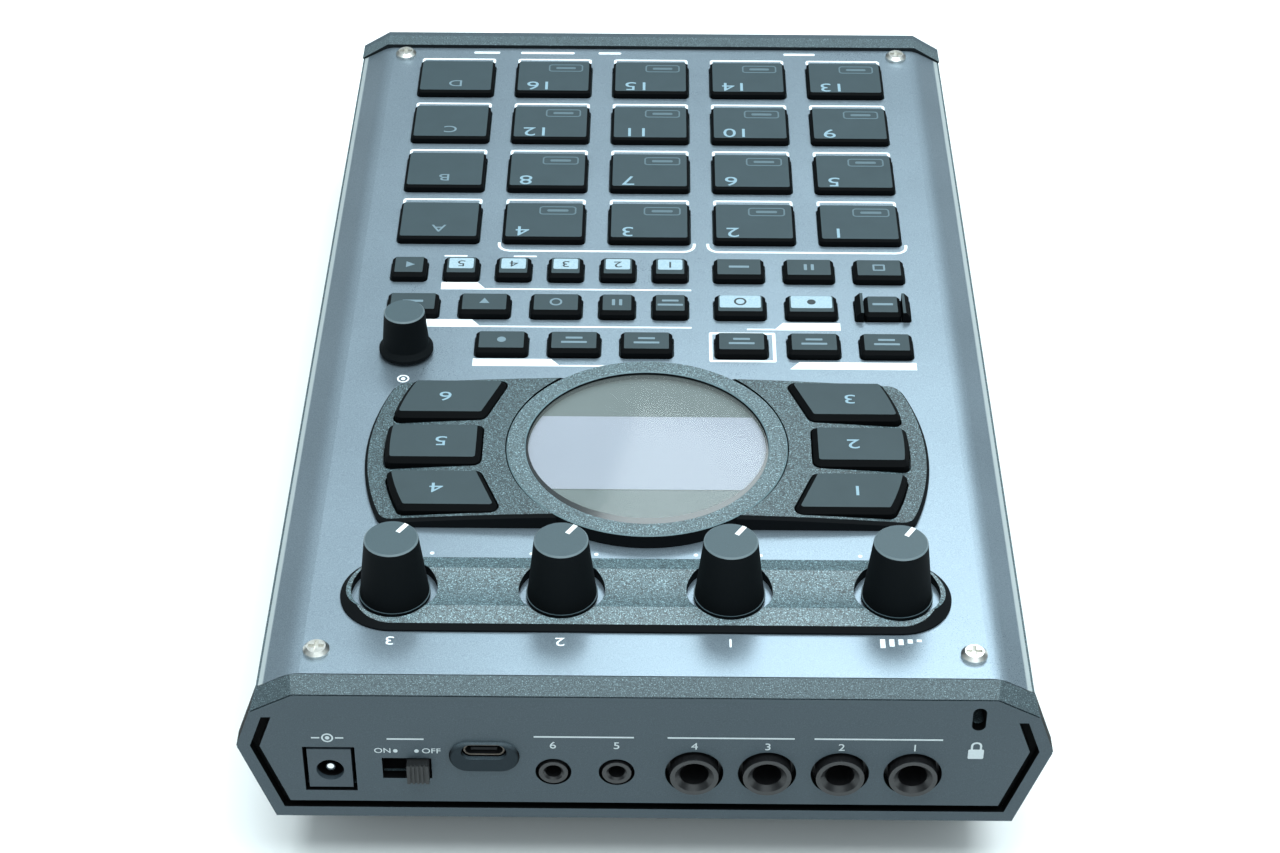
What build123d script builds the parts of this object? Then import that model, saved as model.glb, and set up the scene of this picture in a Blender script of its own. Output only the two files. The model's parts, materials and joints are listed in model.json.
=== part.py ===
import os
from math import atan2, cos, degrees, radians, sin, sqrt, tan

from build123d import *

os.makedirs("parts", exist_ok=True)

# Sizes are in millimetres. The deck frame lies on the face plate: u runs across, v towards the rear and
# w square to the plate, with its origin at the middle of the plate's upper face.

# Overall sizes
case_width = 177.5
total_height = 70.5
deck_tilt = 3.0
half_length = 137.2

# Section of the case, given for the right half
crease_u = 76.3
slope_u = 83.9
slope_w = -4.05
seam_w = -17.8
seam_bevel = 0.4
base_u = 81.6
base_w = -39.3
cap_run = 4.6
cap_gap = 0.1
upper_wall = 2.5
lower_wall = 2.8
end_wall = 3.0
panel_skin = 2.0
panel_groove = 2.0
groove_top_w = -9.2
tongue_gap = 0.25
strip_run = 4.1
strip_drop = 2.4
front_rim_run = 5.3
front_rim_reach = 2.44
front_rim_rise = 1.0
front_rim_edge = 0.4
strip_line = 0.35
strip_line_depth = 0.6
strip_line_reach = 3.0
ledge_u = 67.6
ledge_outer_u = 73.8
ledge_depth = 13.0
ledge_front_v = -124.2
ledge_rear_v = 121.5

# Face plate
plate_thickness = 1.2
plate_end_gap = 0.15
plate_side_rim = 0.6
plate_bend_r = 8.0

# Screws: four hold the face plate, six come up from below
screw_head_r = 2.9
screw_head_height = 1.5
screw_crown = 0.8
screw_cross = 3.4
screw_cross_width = 0.9
screw_cross_depth = 0.9
screw_r = 1.4
screw_length = 8.0
screw_gap = 0.08
plate_screw_spots = [(-71.2, 126.0), (71.2, 126.0), (-70.9, -127.8), (70.9, -127.8)]
case_screw_u = 71.5
case_screw_vs = [-118.0, -45.0, 30.0]
case_post_r = 4.6
counterbore_r = 3.1
case_screw_seat_w = -16.0

# What presses: travel room, gaps and heights shared by pads and keys
press_gap = 0.4
flange_gap = 0.35
flange_thickness = 0.9
flange_lip = 0.7
stem_foot_w = -8.2

# Pads
pad_columns = 5
pad_rows = 4
pad_pitch_u = 27.65
pad_pitch_v = 24.57
pad_first_v = -39.45
pad_hole_u = 22.0
pad_hole_v = 17.8
pad_corner = 1.6
pad_top = 2.0
pad_edge = 0.6
pad_stem_u = 12.0
pad_stem_v = 10.0

# Small keys
key_row_v = 14.5
key_row_pitch = 16.2
key_hole_v = 9.4
wide_hole_u = 13.7
small_hole_u = 9.8
guard_hole_u = 14.5
guard_key_u = 9.2
guard_ridge_u = 1.9
guard_ridge_top = 2.7
guard_ridge_bevel = 1.2
guard_corner = 0.8
key_corner = 1.6
key_top = 2.3
key_edge = 0.9
key_stem_u = 6.0
key_stem_v = 4.0
block_first_u = -59.2
block_pitch_u = 18.0
edit_first_u = 0.4
small_first_u = -5.5
small_pitch_u = 13.45
mode_first_u = 23.4
mode_pitch_u = 18.1

# Display: a crowned housing, a ring, a window under the ring's lip and the module behind it
display_v = 58.0
housing_r = 66.4
housing_half_v = 26.4
housing_corner = 4.0
housing_crown = 4.2
housing_edge_height = 1.4
housing_bevel = 0.7
ring_r = 33.1
ring_gap = 0.3
ring_height = 3.7
ring_seat = 0.5
ring_lip_r = 28.6
ring_lip_thickness = 0.8
ring_edge = 0.25
window_r = 31.5
window_gap = 0.1
window_thickness = 1.2
window_air = 0.3
module_r = 30.5
module_gap = 0.3
screen_u = 60.0
screen_v = 27.4
screen_step = 0.3

# Effect keys: three on each side of the ring
effect_pitch_v = 17.3
effect_half_v = 7.65
effect_outer_r = 62.0
effect_inner_u = 38.6
effect_corner_u = 32.8
effect_corner = 2.2
effect_top = 4.6
effect_edge = 1.2
effect_stem_u = 10.0
effect_stem_v = 6.0

# Knob surround and control knobs
knob_count = 4
knob_pitch = 37.1
knob_row_v = 107.5
knob_top = 16.5
knob_top_r = 6.0
knob_base_r = 7.7
knob_base_gap = 0.5
knob_lip = 0.25
knob_lip_height = 0.8
knob_edge = 0.35
knob_cavity_r = 6.2
knob_cavity_top = 9.0
knob_hub_r = 4.6
knob_hub_foot = 2.0
shaft_r = 3.0
shaft_top = 10.5
press_fit_gap = 0.02
running_gap = 0.05
shaft_hole_gap = 0.6
trough_r = 12.1
trough_shoulder_r = 11.0
trough_foot_height = 0.5
trough_shoulder = 1.6
trough_ridge_v = 6.3
trough_ridge = 2.6
trough_scoop = 1.9
trough_well_r = 9.6

# Value knob on its push encoder
encoder_u = 59.9
encoder_v = 16.8
value_base_r = 6.7
value_top_r = 5.0
value_top = 12.4
value_base_gap = 0.9
value_skirt = 3.0
value_skirt_r = 5.75
plunger_length = 1.2
plunger_room = 0.8

# Potentiometer and encoder bodies, boards
control_side = 12.2
control_height = 7.0
bushing_r = 4.6
bushing_height = 1.1
bushing_gap = 0.1
board_thickness = 1.6
key_board_u = 67.2
key_board_front_v = -123.5
key_board_rear_v = 119.5
main_board_u = 66.0
main_board_end_gap = 8.5
board_post_r = 3.0
board_pin_r = 1.9
board_pin_gap = 0.2
board_post_u = 55.0
board_post_vs = [-90.0, -10.0, 38.0]

# Sockets on the end panels
socket_w = -25.0
socket_seat_gap = 0.2
jack_first_u = -58.7
jack_pitch = 15.93
jack_hole_r = 6.4
jack_nose_r = 5.3
jack_bore_r = 3.2
jack_bore_chamfer = 1.1
jack_proud = 1.5
jack_length = 20.0
jack_bore_depth = 21.0
front_jack_us = [-46.0, 47.5]
mini_first_u = 6.05
mini_pitch = 13.85
mini_hole_r = 3.95
mini_nose_r = 3.2
mini_bore_r = 1.8
mini_bore_chamfer = 0.5
mini_proud = 0.3
mini_side = 8.0
mini_length = 14.0
mini_bore_depth = 14.0
front_mini_u = -32.0
usb_u = 34.9
usb_w = -18.4
usb_width = 8.94
usb_height = 3.2
usb_wall = 0.35
usb_tongue = 0.7
usb_length = 7.8
usb_hole_gap = 0.5
usb_boss_u = 15.4
usb_boss_w = 8.6
usb_boss_centre_w = -20.3
usb_boss_proud = 1.0
usb_boss_round = 0.9
inlet_u = 68.8
inlet_width = 9.6
inlet_foot_w = -30.4
inlet_hole_w = -25.2
inlet_hole_r = 3.05
inlet_hole_depth = 10.0
inlet_pin_r = 1.0
inlet_gap = 0.9
inlet_length = 14.0
inlet_face_gap = 0.2
lock_u = -72.0
lock_w = -8.2
lock_width = 3.0
lock_height = 6.6
lock_depth = 7.0

# Slide switches: power at the rear, input level at the front
switch_w = -24.3
switch_slot_u = 10.8
switch_slot_w = 6.2
switch_power_u = 51.9
switch_input_u = 30.0
lever_u = 4.8
lever_w = 5.4
lever_proud = 2.2
lever_travel = 5.0
lever_ribs = 5
lever_rib_depth = 0.35
switch_body_u = 17.0
switch_body_depth = 8.0
switch_channel = 3.6
switch_gap = 0.3

# Gain knob in a round well of the front panel
gain_u = 10.5
gain_well_r = 8.0
gain_well_depth = 6.0
gain_well_wall = 1.8
gain_knob_r = 5.0
gain_knob_gap = 0.4

# Battery hump, bay and sliding cover; these lie level with the floor
foot_height = 2.5
hump_half_x = 72.0
hump_front_y = 40.0
hump_rear_y = 116.0
hump_draft = 12.0
hump_wall = 2.6
cell_count = 6
cell_diameter = 14.5
cell_length = 50.5
cell_room = 0.25
contact_thickness = 0.8
contact_width = 9.0
contact_height = 11.0
bay_front_y = 57.5
bay_wall = 2.2
cover_thickness = 2.2
cover_gap = 0.3
cover_tongue = 1.5
cover_tongue_thickness = 1.0
cover_front_y = 52.0
cover_grip_u = 24.0
cover_grips = 4
cover_grip_pitch = 3.0
cover_grip_depth = 0.5

# Rubber feet
foot_r = 8.0
foot_edge = 0.6
foot_x = 57.0
front_foot_v = -117.0
rear_foot_y = 105.0

# Values worked out from the sizes above
tilt = radians(deck_tilt)
deck_z = total_height - (knob_row_v + knob_top_r - knob_edge) * sin(tilt) - knob_top * cos(tilt)
lever_reach = (half_length + lever_proud) * cos(tilt)
rear_reach = lever_reach + (lever_w / 2 - switch_w) * sin(tilt)
front_reach = (half_length + front_rim_reach) * cos(tilt) + (front_rim_rise - front_rim_edge) * sin(tilt)
deck_y = (front_reach - rear_reach) / 2
deck_origin = (0, deck_y, deck_z)
deck = Plane(origin=deck_origin, x_dir=(1, 0, 0), z_dir=(0, -sin(tilt), cos(tilt)))
section = Plane(origin=deck_origin, x_dir=(1, 0, 0), z_dir=(0, -cos(tilt), -sin(tilt)))
rear_face = section.offset(-half_length)
front_face = section.offset(half_length)
rearward = Axis(deck_origin, deck.y_dir)
upward = Axis(deck_origin, deck.z_dir)
trough_section = Plane(origin=deck.from_local_coords((0, knob_row_v, 0)), x_dir=deck.y_dir, z_dir=(1, 0, 0))
side_u = case_width / 2
slope_angle = atan2(-slope_w, slope_u - crease_u)
upper_lean = (side_u - slope_u) / (slope_w - seam_w)
lower_lean = (side_u - base_u) / (seam_w - base_w)
waist_lean = (slope_u - base_u) / (slope_w - base_w)
waist_rear_v = half_length - cap_run
plate_rear_v = half_length - strip_run
plate_front_v = half_length - front_rim_run
plate_length = plate_rear_v + plate_front_v
plate_under_w = -plate_thickness
flange_w = plate_under_w - flange_gap
key_board_w = plate_under_w - bushing_gap - bushing_height - control_height
main_board_w = socket_w + control_side / 2
main_board_v = half_length - main_board_end_gap
floor_w = base_w + lower_wall
pad_us = [(i - (pad_columns - 1) / 2) * pad_pitch_u for i in range(pad_columns)]
pad_vs = [pad_first_v - i * pad_pitch_v for i in range(pad_rows)]
knob_us = [(i - (knob_count - 1) / 2) * knob_pitch for i in range(knob_count)]
key_vs = [key_row_v - i * key_row_pitch for i in range(3)]
block_us = [block_first_u + i * block_pitch_u for i in range(3)]
edit_us = [edit_first_u + i * block_pitch_u for i in range(3)]
small_us = [small_first_u + i * small_pitch_u for i in range(6)]
mode_us = [mode_first_u + i * mode_pitch_u for i in range(3)]
jack_us = [jack_first_u + i * jack_pitch for i in range(4)]
mini_us = [mini_first_u + i * mini_pitch for i in range(2)]
case_screw_spots = [(side * case_screw_u, v) for side in (-1, 1) for v in case_screw_vs]
board_post_spots = [(side * board_post_u, v) for side in (-1, 1) for v in board_post_vs]
cell_pitch = cell_diameter + cell_room
bay_half_x = cell_count * cell_pitch / 2 + cell_room
bay_rear_y = bay_front_y + cell_length + 2 * (contact_thickness + cell_room)
bay_roof_z = foot_height + cover_thickness + 2 * cell_room + cell_diameter
cell_xs = [(i - (cell_count - 1) / 2) * cell_pitch for i in range(cell_count)]
channel_half_x = bay_half_x + bay_wall
channel_top_z = foot_height + cover_thickness + cover_gap


def save(piece, name):
    piece.label = name
    export_step(piece, f"parts/{name}.step")


def slope_points(depth):
    # Crease and foot of the plate's right side, this far below its outer face.
    crease = (crease_u - depth * tan(slope_angle / 2), -depth)
    foot = (slope_u - depth * sin(slope_angle), slope_w - depth * cos(slope_angle))
    return crease, foot


def mirrored(points):
    # A closed outline from its right half, listed from top to bottom.
    return points + [(-u, w) for u, w in reversed(points)]


def waist_u(w, inset):
    # Half width of the case in front of its rear cap at height w, this far inside its side face.
    return slope_u - (slope_w - w) * waist_lean - inset * sqrt(1 + waist_lean**2)


def lower_u(w, inset):
    # Half width of the rear cap below the seam at height w, this far inside its side face.
    return side_u - (seam_w - w) * lower_lean - inset * sqrt(1 + lower_lean**2)


def upper_u(w, inset):
    # Half width of the rear cap above the seam at height w, this far inside its side face.
    return slope_u + (slope_w - w) * upper_lean - inset * sqrt(1 + upper_lean**2)


def panel_outline(edge_u, gap):
    # Right half of an end panel below the seam, this far inside the lower case, whose half width edge_u gives.
    bottom = floor_w + gap
    inset = lower_wall + gap
    return [(edge_u(seam_w, inset), seam_w), (edge_u(bottom, inset), bottom)]


def tub_outline(edge_u):
    # Right half of the lower case below the seam, with its bevelled upper edge.
    bevel_w = seam_w - seam_bevel
    return [(edge_u(seam_w, 0) - seam_bevel, seam_w), (edge_u(bevel_w, 0), bevel_w), (base_u, base_w)]


def strip_edge(depth):
    # The end strip's lower edge across the case, this far below the plate's outer face.
    crease, foot = slope_points(depth)
    end = (foot[0] + strip_line_reach * cos(slope_angle), foot[1] - strip_line_reach * sin(slope_angle))
    return [(-end[0], end[1]), (-crease[0], crease[1]), crease, end]


def effect_outline(side, row, grow):
    # One effect key's outline about the display's centre, grown or shrunk by grow.
    low_v = row * effect_pitch_v - effect_half_v
    high_v = row * effect_pitch_v + effect_half_v
    tilt_u = effect_corner_u - effect_inner_u
    low_u = effect_inner_u + (tilt_u if row < 0 else 0)
    high_u = effect_inner_u + (tilt_u if row > 0 else 0)

    def arc_point(v):
        return (side * sqrt(effect_outer_r**2 - v**2), v)

    with BuildSketch() as outline:
        with BuildLine():
            Line((side * low_u, low_v), (side * high_u, high_v))
            Line((side * high_u, high_v), arc_point(high_v))
            ThreePointArc(arc_point(high_v), arc_point((low_v + high_v) / 2), arc_point(low_v))
            Line(arc_point(low_v), (side * low_u, low_v))
        make_face()
        fillet(outline.vertices(), effect_corner)
        if grow:
            offset(amount=grow, kind=Kind.INTERSECTION)
    return outline.sketch_local


effect_keys = [(side, row) for side in (-1, 1) for row in (1, 0, -1)]

def plate_outline(outer_r):
    # Section of the bent sheet, which stops short of the case's edge by the rim.
    faces = []
    for depth in (0, plate_thickness):
        crease, foot = slope_points(depth)
        foot = (foot[0] - plate_side_rim * cos(slope_angle), foot[1] + plate_side_rim * sin(slope_angle))
        faces.append([(-foot[0], foot[1]), (-crease[0], crease[1]), crease, foot])
    with BuildSketch() as outline:
        with BuildLine():
            Polyline(*faces[0], *reversed(faces[1]), close=True)
        make_face()
        inner = outline.vertices().filter_by(lambda corner: abs(corner.Y + plate_thickness) < 0.01)
        fillet(inner, plate_bend_r - plate_thickness)
        if outer_r:
            fillet(outline.vertices().filter_by(lambda corner: abs(corner.Y) < 0.01), outer_r)
    return outline.sketch_local


# Face plate: a bent sheet with a hole for everything that comes through it
with BuildPart() as face_plate:
    with BuildSketch(section.offset(-plate_rear_v)):
        add(plate_outline(plate_bend_r))
    extrude(amount=plate_length)
    with BuildSketch(deck.offset(plate_under_w)):
        with Locations(*[(u, v) for u in pad_us for v in pad_vs]):
            RectangleRounded(pad_hole_u, pad_hole_v, pad_corner)
        with Locations(*[(u, v) for u in block_us for v in key_vs if (u, v) != (block_us[0], key_vs[1])]):
            RectangleRounded(wide_hole_u, key_hole_v, key_corner)
        with Locations((block_us[0], key_vs[1])):
            RectangleRounded(guard_hole_u, key_hole_v, guard_corner)
        with Locations(*[(u, key_vs[0]) for u in edit_us], *[(u, key_vs[1]) for u in mode_us]):
            RectangleRounded(wide_hole_u, key_hole_v, key_corner)
        with Locations(*[(u, key_vs[1]) for u in small_us[:2]], *[(u, key_vs[2]) for u in small_us]):
            RectangleRounded(small_hole_u, key_hole_v, key_corner)
        with Locations((0, display_v)):
            Circle(module_r + module_gap)
            for side, row in effect_keys:
                add(effect_outline(side, row, 0))
        with Locations(*[(u, knob_row_v) for u in knob_us], (encoder_u, encoder_v)):
            Circle(shaft_r + shaft_hole_gap)
        with Locations(*plate_screw_spots):
            Circle(screw_r + screw_gap)
    extrude(amount=plate_thickness, mode=Mode.SUBTRACT)
save(face_plate.part, "face_plate")

# Upper case: side walls, ledges under the plate, the wider rear cap, end strips and the two end panels
case_crease, case_foot = slope_points(0)
hollow_crease, hollow_foot = slope_points(plate_thickness + upper_wall)
hollow_top_w = hollow_crease[1]
hollow_side_w = hollow_foot[1]

with BuildPart() as top_case:
    with BuildSketch(front_face):
        with BuildLine():
            Polyline(*mirrored([case_crease, case_foot, (waist_u(seam_w, 0), seam_w)]), close=True)
        make_face()
    extrude(amount=-half_length - waist_rear_v)
    with BuildSketch(rear_face):
        with BuildLine():
            Polyline(*mirrored([case_crease, case_foot, (side_u, seam_w)]), close=True)
        make_face()
    extrude(amount=cap_run)
    end = top_case.faces().sort_by(rearward)[-1]
    chamfer(end.edges().sort_by(upward)[-3:], length=strip_drop, length2=strip_run, reference=end)
    rear_end = (rear_face, rear_face.offset(panel_skin), lower_u, upper_u)
    front_end = (front_face.offset(-panel_skin), front_face.offset(-end_wall), waist_u, waist_u)
    for skin_plane, tongue_plane, low_u, high_u in (rear_end, front_end):
        with BuildSketch(skin_plane):
            with BuildLine():
                Polyline(*mirrored(panel_outline(low_u, panel_groove)), close=True)
            make_face()
        extrude(amount=panel_skin)
        with BuildSketch(tongue_plane):
            with BuildLine():
                Polyline(*mirrored(panel_outline(low_u, tongue_gap)), close=True)
            make_face()
        extrude(amount=end_wall - panel_skin)
        with BuildSketch(skin_plane):
            for side in (-1, 1):
                rim_foot = (side * high_u(seam_w, lower_wall), seam_w)
                rim_top = (side * high_u(groove_top_w, lower_wall), groove_top_w)
                panel_top = (side * high_u(groove_top_w, lower_wall + panel_groove), groove_top_w)
                panel_foot = (side * high_u(seam_w, lower_wall + panel_groove), seam_w)
                with BuildLine():
                    Polyline(rim_foot, rim_top, panel_top, panel_foot, close=True)
                make_face()
        extrude(amount=panel_skin, mode=Mode.SUBTRACT)
    with BuildSketch(rear_face):
        with BuildLine():
            Polyline(*strip_edge(strip_drop), *reversed(strip_edge(strip_drop + strip_line)), close=True)
        make_face()
    extrude(amount=strip_line_depth, mode=Mode.SUBTRACT)
    with BuildSketch(section):
        with BuildLine():
            hollow = [(ledge_outer_u, -ledge_depth), (ledge_outer_u, hollow_top_w), hollow_crease]
            hollow += [(waist_u(hollow_side_w, upper_wall), hollow_side_w)]
            hollow += [(waist_u(seam_w, upper_wall), seam_w)]
            Polyline(*mirrored(hollow), close=True)
        make_face()
    extrude(amount=half_length - end_wall, both=True, mode=Mode.SUBTRACT)
    with BuildSketch(deck.offset(-ledge_depth)):
        with Locations((0, (ledge_front_v + ledge_rear_v) / 2)):
            Rectangle(2 * ledge_u, ledge_rear_v - ledge_front_v)
    extrude(amount=ledge_depth, mode=Mode.SUBTRACT)
    with BuildSketch(section.offset(-plate_rear_v - plate_end_gap)):
        add(plate_outline(0))
    extrude(amount=plate_length + 2 * plate_end_gap, mode=Mode.SUBTRACT)
    with BuildSketch(section.offset(plate_front_v + plate_end_gap)):
        rim_crease, rim_foot = slope_points(-front_rim_rise)[0], slope_points(-front_rim_rise / 2)[1]
        low_crease, low_foot = slope_points(strip_drop)
        with BuildLine():
            Polyline(*mirrored([rim_crease, rim_foot, low_foot, low_crease]), close=True)
        make_face()
    extrude(amount=front_rim_run + front_rim_reach - plate_end_gap)
    chamfer(top_case.faces().sort_by(rearward)[0].edges().sort_by(upward)[-3:], front_rim_edge)
    with BuildSketch(front_face.offset(-end_wall)):
        with Locations((gain_u, socket_w)):
            Circle(gain_well_r + gain_well_wall)
    extrude(amount=end_wall - gain_well_depth - gain_well_wall)
    with BuildSketch(front_face):
        with Locations((gain_u, socket_w)):
            Circle(gain_well_r)
    extrude(amount=-gain_well_depth, mode=Mode.SUBTRACT)
    with BuildSketch(front_face):
        with Locations((gain_u, socket_w)):
            Circle(shaft_r + shaft_hole_gap)
    extrude(amount=-gain_well_depth - gain_well_wall, mode=Mode.SUBTRACT)
    with BuildSketch(rear_face):
        with Locations((usb_u, usb_boss_centre_w)):
            SlotOverall(usb_boss_u, usb_boss_w)
    extrude(amount=-usb_boss_proud)
    boss_edges = top_case.edges().filter_by(GeomType.CIRCLE).sort_by(rearward)[-2:]
    fillet(boss_edges, usb_boss_round)
    with BuildSketch(rear_face.offset(-usb_boss_proud)):
        with Locations((usb_u, usb_w)):
            SlotOverall(usb_width + 2 * usb_hole_gap, usb_height + 2 * usb_hole_gap)
    extrude(amount=usb_boss_proud + end_wall, mode=Mode.SUBTRACT)
    with BuildSketch(rear_face):
        with Locations(*[(u, socket_w) for u in jack_us]):
            Circle(jack_hole_r)
        with Locations(*[(u, socket_w) for u in mini_us]):
            Circle(mini_hole_r)
        with Locations((inlet_u, (main_board_w + inlet_foot_w) / 2)):
            Rectangle(inlet_width + 2 * inlet_gap, main_board_w - inlet_foot_w + 2 * inlet_gap)
        with Locations((switch_power_u, switch_w)):
            Rectangle(switch_slot_u, switch_slot_w)
    extrude(amount=end_wall, mode=Mode.SUBTRACT)
    with BuildSketch(rear_face):
        with Locations((lock_u, lock_w)):
            SlotOverall(lock_height, lock_width, rotation=90)
    extrude(amount=lock_depth, mode=Mode.SUBTRACT)
    with BuildSketch(front_face):
        with Locations(*[(u, socket_w) for u in front_jack_us]):
            Circle(jack_hole_r)
        with Locations((front_mini_u, socket_w)):
            Circle(mini_hole_r)
        with Locations((switch_input_u, switch_w)):
            Rectangle(switch_slot_u, switch_slot_w)
    extrude(amount=-end_wall, mode=Mode.SUBTRACT)
    with BuildSketch(deck.offset(-screw_length - screw_gap)):
        with Locations(*plate_screw_spots):
            Circle(screw_r + screw_gap)
    extrude(amount=screw_length, mode=Mode.SUBTRACT)
    with BuildSketch(deck.offset(-ledge_depth)):
        with Locations(*case_screw_spots):
            Circle(screw_r + screw_gap)
    extrude(amount=case_screw_seat_w + screw_length + ledge_depth + screw_gap, mode=Mode.SUBTRACT)
save(top_case.part, "top_case")

# Lower case: a U-shaped tub that widens at its rear cap, with the battery hump, screw posts and board posts
with BuildPart() as bottom_case:
    with BuildSketch(Plane.XY.offset(foot_height)):
        with Locations((0, (hump_front_y + hump_rear_y) / 2)):
            RectangleRounded(2 * hump_half_x, hump_rear_y - hump_front_y, foot_r)
    extrude(amount=deck_z, taper=-hump_draft)
    with BuildSketch(deck.offset(floor_w)):
        Rectangle(2 * case_width, 4 * half_length)
    extrude(amount=2 * deck_z, mode=Mode.SUBTRACT)
    cap_web = cap_run - end_wall - cap_gap
    walls = [
        (front_face, waist_u, waist_u, -half_length - waist_rear_v),
        (section.offset(-waist_rear_v), lower_u, waist_u, -cap_web),
        (rear_face, lower_u, lower_u, end_wall + cap_gap),
    ]
    for wall_plane, outer_u, inner_u, run in walls:
        with BuildSketch(wall_plane):
            with BuildLine():
                Polyline(*mirrored(tub_outline(outer_u)), close=True)
            make_face()
            with BuildLine():
                Polyline(*mirrored(panel_outline(inner_u, 0)), close=True)
            make_face(mode=Mode.SUBTRACT)
        extrude(amount=run)
    with BuildSketch(Plane.XY.offset(foot_height + hump_wall)):
        pocket_x = (channel_half_x + cover_tongue + hump_half_x) / 2
        with Locations(*[(side * pocket_x, (hump_front_y + hump_rear_y) / 2) for side in (-1, 1)]):
            pocket_u = hump_half_x - channel_half_x - cover_tongue - 2 * hump_wall
            RectangleRounded(pocket_u, hump_rear_y - hump_front_y - 4 * hump_wall, hump_wall)
    extrude(amount=deck_z / 2, mode=Mode.SUBTRACT)
    with BuildSketch(Plane.XY.offset(foot_height)):
        with Locations((0, (bay_front_y + bay_rear_y) / 2)):
            Rectangle(2 * channel_half_x, bay_rear_y - bay_front_y + 2 * bay_wall)
    extrude(amount=bay_roof_z + bay_wall - foot_height)
    with BuildSketch(Plane.XY.offset(foot_height)):
        with Locations((0, (bay_front_y + bay_rear_y) / 2)):
            Rectangle(2 * bay_half_x, bay_rear_y - bay_front_y)
    extrude(amount=bay_roof_z - foot_height, mode=Mode.SUBTRACT)
    channel_rear_y = hump_rear_y + foot_r
    with BuildSketch(Plane.XY.offset(foot_height)):
        with Locations((0, (cover_front_y + channel_rear_y) / 2)):
            Rectangle(2 * channel_half_x, channel_rear_y - cover_front_y)
    extrude(amount=channel_top_z - foot_height, mode=Mode.SUBTRACT)
    groove_height = cover_tongue_thickness + 2 * cover_gap
    with BuildSketch(Plane.XY.offset(channel_top_z - groove_height)):
        with Locations((0, (cover_front_y + channel_rear_y) / 2)):
            Rectangle(2 * (channel_half_x + cover_tongue), channel_rear_y - cover_front_y)
    extrude(amount=groove_height, mode=Mode.SUBTRACT)
    with BuildSketch(deck.offset(base_w)):
        with Locations(*case_screw_spots):
            Circle(case_post_r)
    extrude(amount=-ledge_depth - base_w)
    with BuildSketch(deck.offset(base_w)):
        with Locations(*case_screw_spots):
            Circle(counterbore_r)
    extrude(amount=case_screw_seat_w - base_w, mode=Mode.SUBTRACT)
    with BuildSketch(deck.offset(case_screw_seat_w)):
        with Locations(*case_screw_spots):
            Circle(screw_r + screw_gap)
    extrude(amount=-ledge_depth - case_screw_seat_w, mode=Mode.SUBTRACT)
    with BuildSketch(deck.offset(floor_w)):
        with Locations(*board_post_spots):
            Circle(board_post_r)
    extrude(amount=main_board_w - floor_w)
    with BuildSketch(deck.offset(main_board_w)):
        with Locations(*board_post_spots):
            Circle(board_pin_r)
    extrude(amount=key_board_w - board_thickness - main_board_w)
save(bottom_case.part, "bottom_case")

# Sliding battery cover with side tongues and a grip of shallow grooves
with BuildPart() as battery_cover:
    cover_rear_y = hump_rear_y - cover_gap
    cover_length = cover_rear_y - cover_front_y - cover_gap
    cover_mid_y = cover_rear_y - cover_length / 2
    with BuildSketch(Plane.XY.offset(foot_height)):
        with Locations((0, cover_mid_y)):
            Rectangle(2 * (channel_half_x - cover_gap), cover_length)
    extrude(amount=cover_thickness)
    with BuildSketch(Plane.XY.offset(foot_height + cover_thickness - cover_tongue_thickness)):
        with Locations((0, cover_mid_y)):
            Rectangle(2 * (channel_half_x + cover_tongue - cover_gap), cover_length)
    extrude(amount=cover_tongue_thickness)
    with BuildSketch(Plane.XY.offset(foot_height)):
        with Locations((0, cover_rear_y - cover_grips * cover_grip_pitch)):
            with GridLocations(0, cover_grip_pitch, 1, cover_grips):
                SlotOverall(cover_grip_u, cover_grip_pitch / 2)
    extrude(amount=cover_grip_depth, mode=Mode.SUBTRACT)
save(battery_cover.part, "battery_cover")

# Battery contacts: one leaf at each end of each cell
with BuildPart() as battery_contacts:
    with BuildSketch(Plane.XY.offset(bay_roof_z - (cell_diameter + contact_height) / 2)):
        for y in (bay_front_y + contact_thickness / 2, bay_rear_y - contact_thickness / 2):
            with Locations(*[(x, y) for x in cell_xs]):
                Rectangle(contact_width, contact_thickness)
    extrude(amount=contact_height)
save(battery_contacts.part, "battery_contacts")

# Rubber feet: the front pair meets the sloping floor of the case, the rear pair stands under the hump
with BuildPart() as rubber_feet:
    front_foot_y = deck_y + front_foot_v * cos(tilt) - base_w * sin(tilt)
    with BuildSketch(Plane.XY):
        with Locations((-foot_x, front_foot_y), (foot_x, front_foot_y)):
            Circle(foot_r)
    extrude(amount=deck_z / 2)
    with BuildSketch(deck.offset(base_w)):
        Rectangle(2 * case_width, 4 * half_length)
    extrude(amount=deck_z, mode=Mode.SUBTRACT)
    with BuildSketch(Plane.XY):
        with Locations((-foot_x, rear_foot_y), (foot_x, rear_foot_y)):
            Circle(foot_r)
    extrude(amount=foot_height)
    chamfer(rubber_feet.faces().group_by(Axis.Z)[0].edges(), foot_edge)
save(rubber_feet.part, "rubber_feet")

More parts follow.
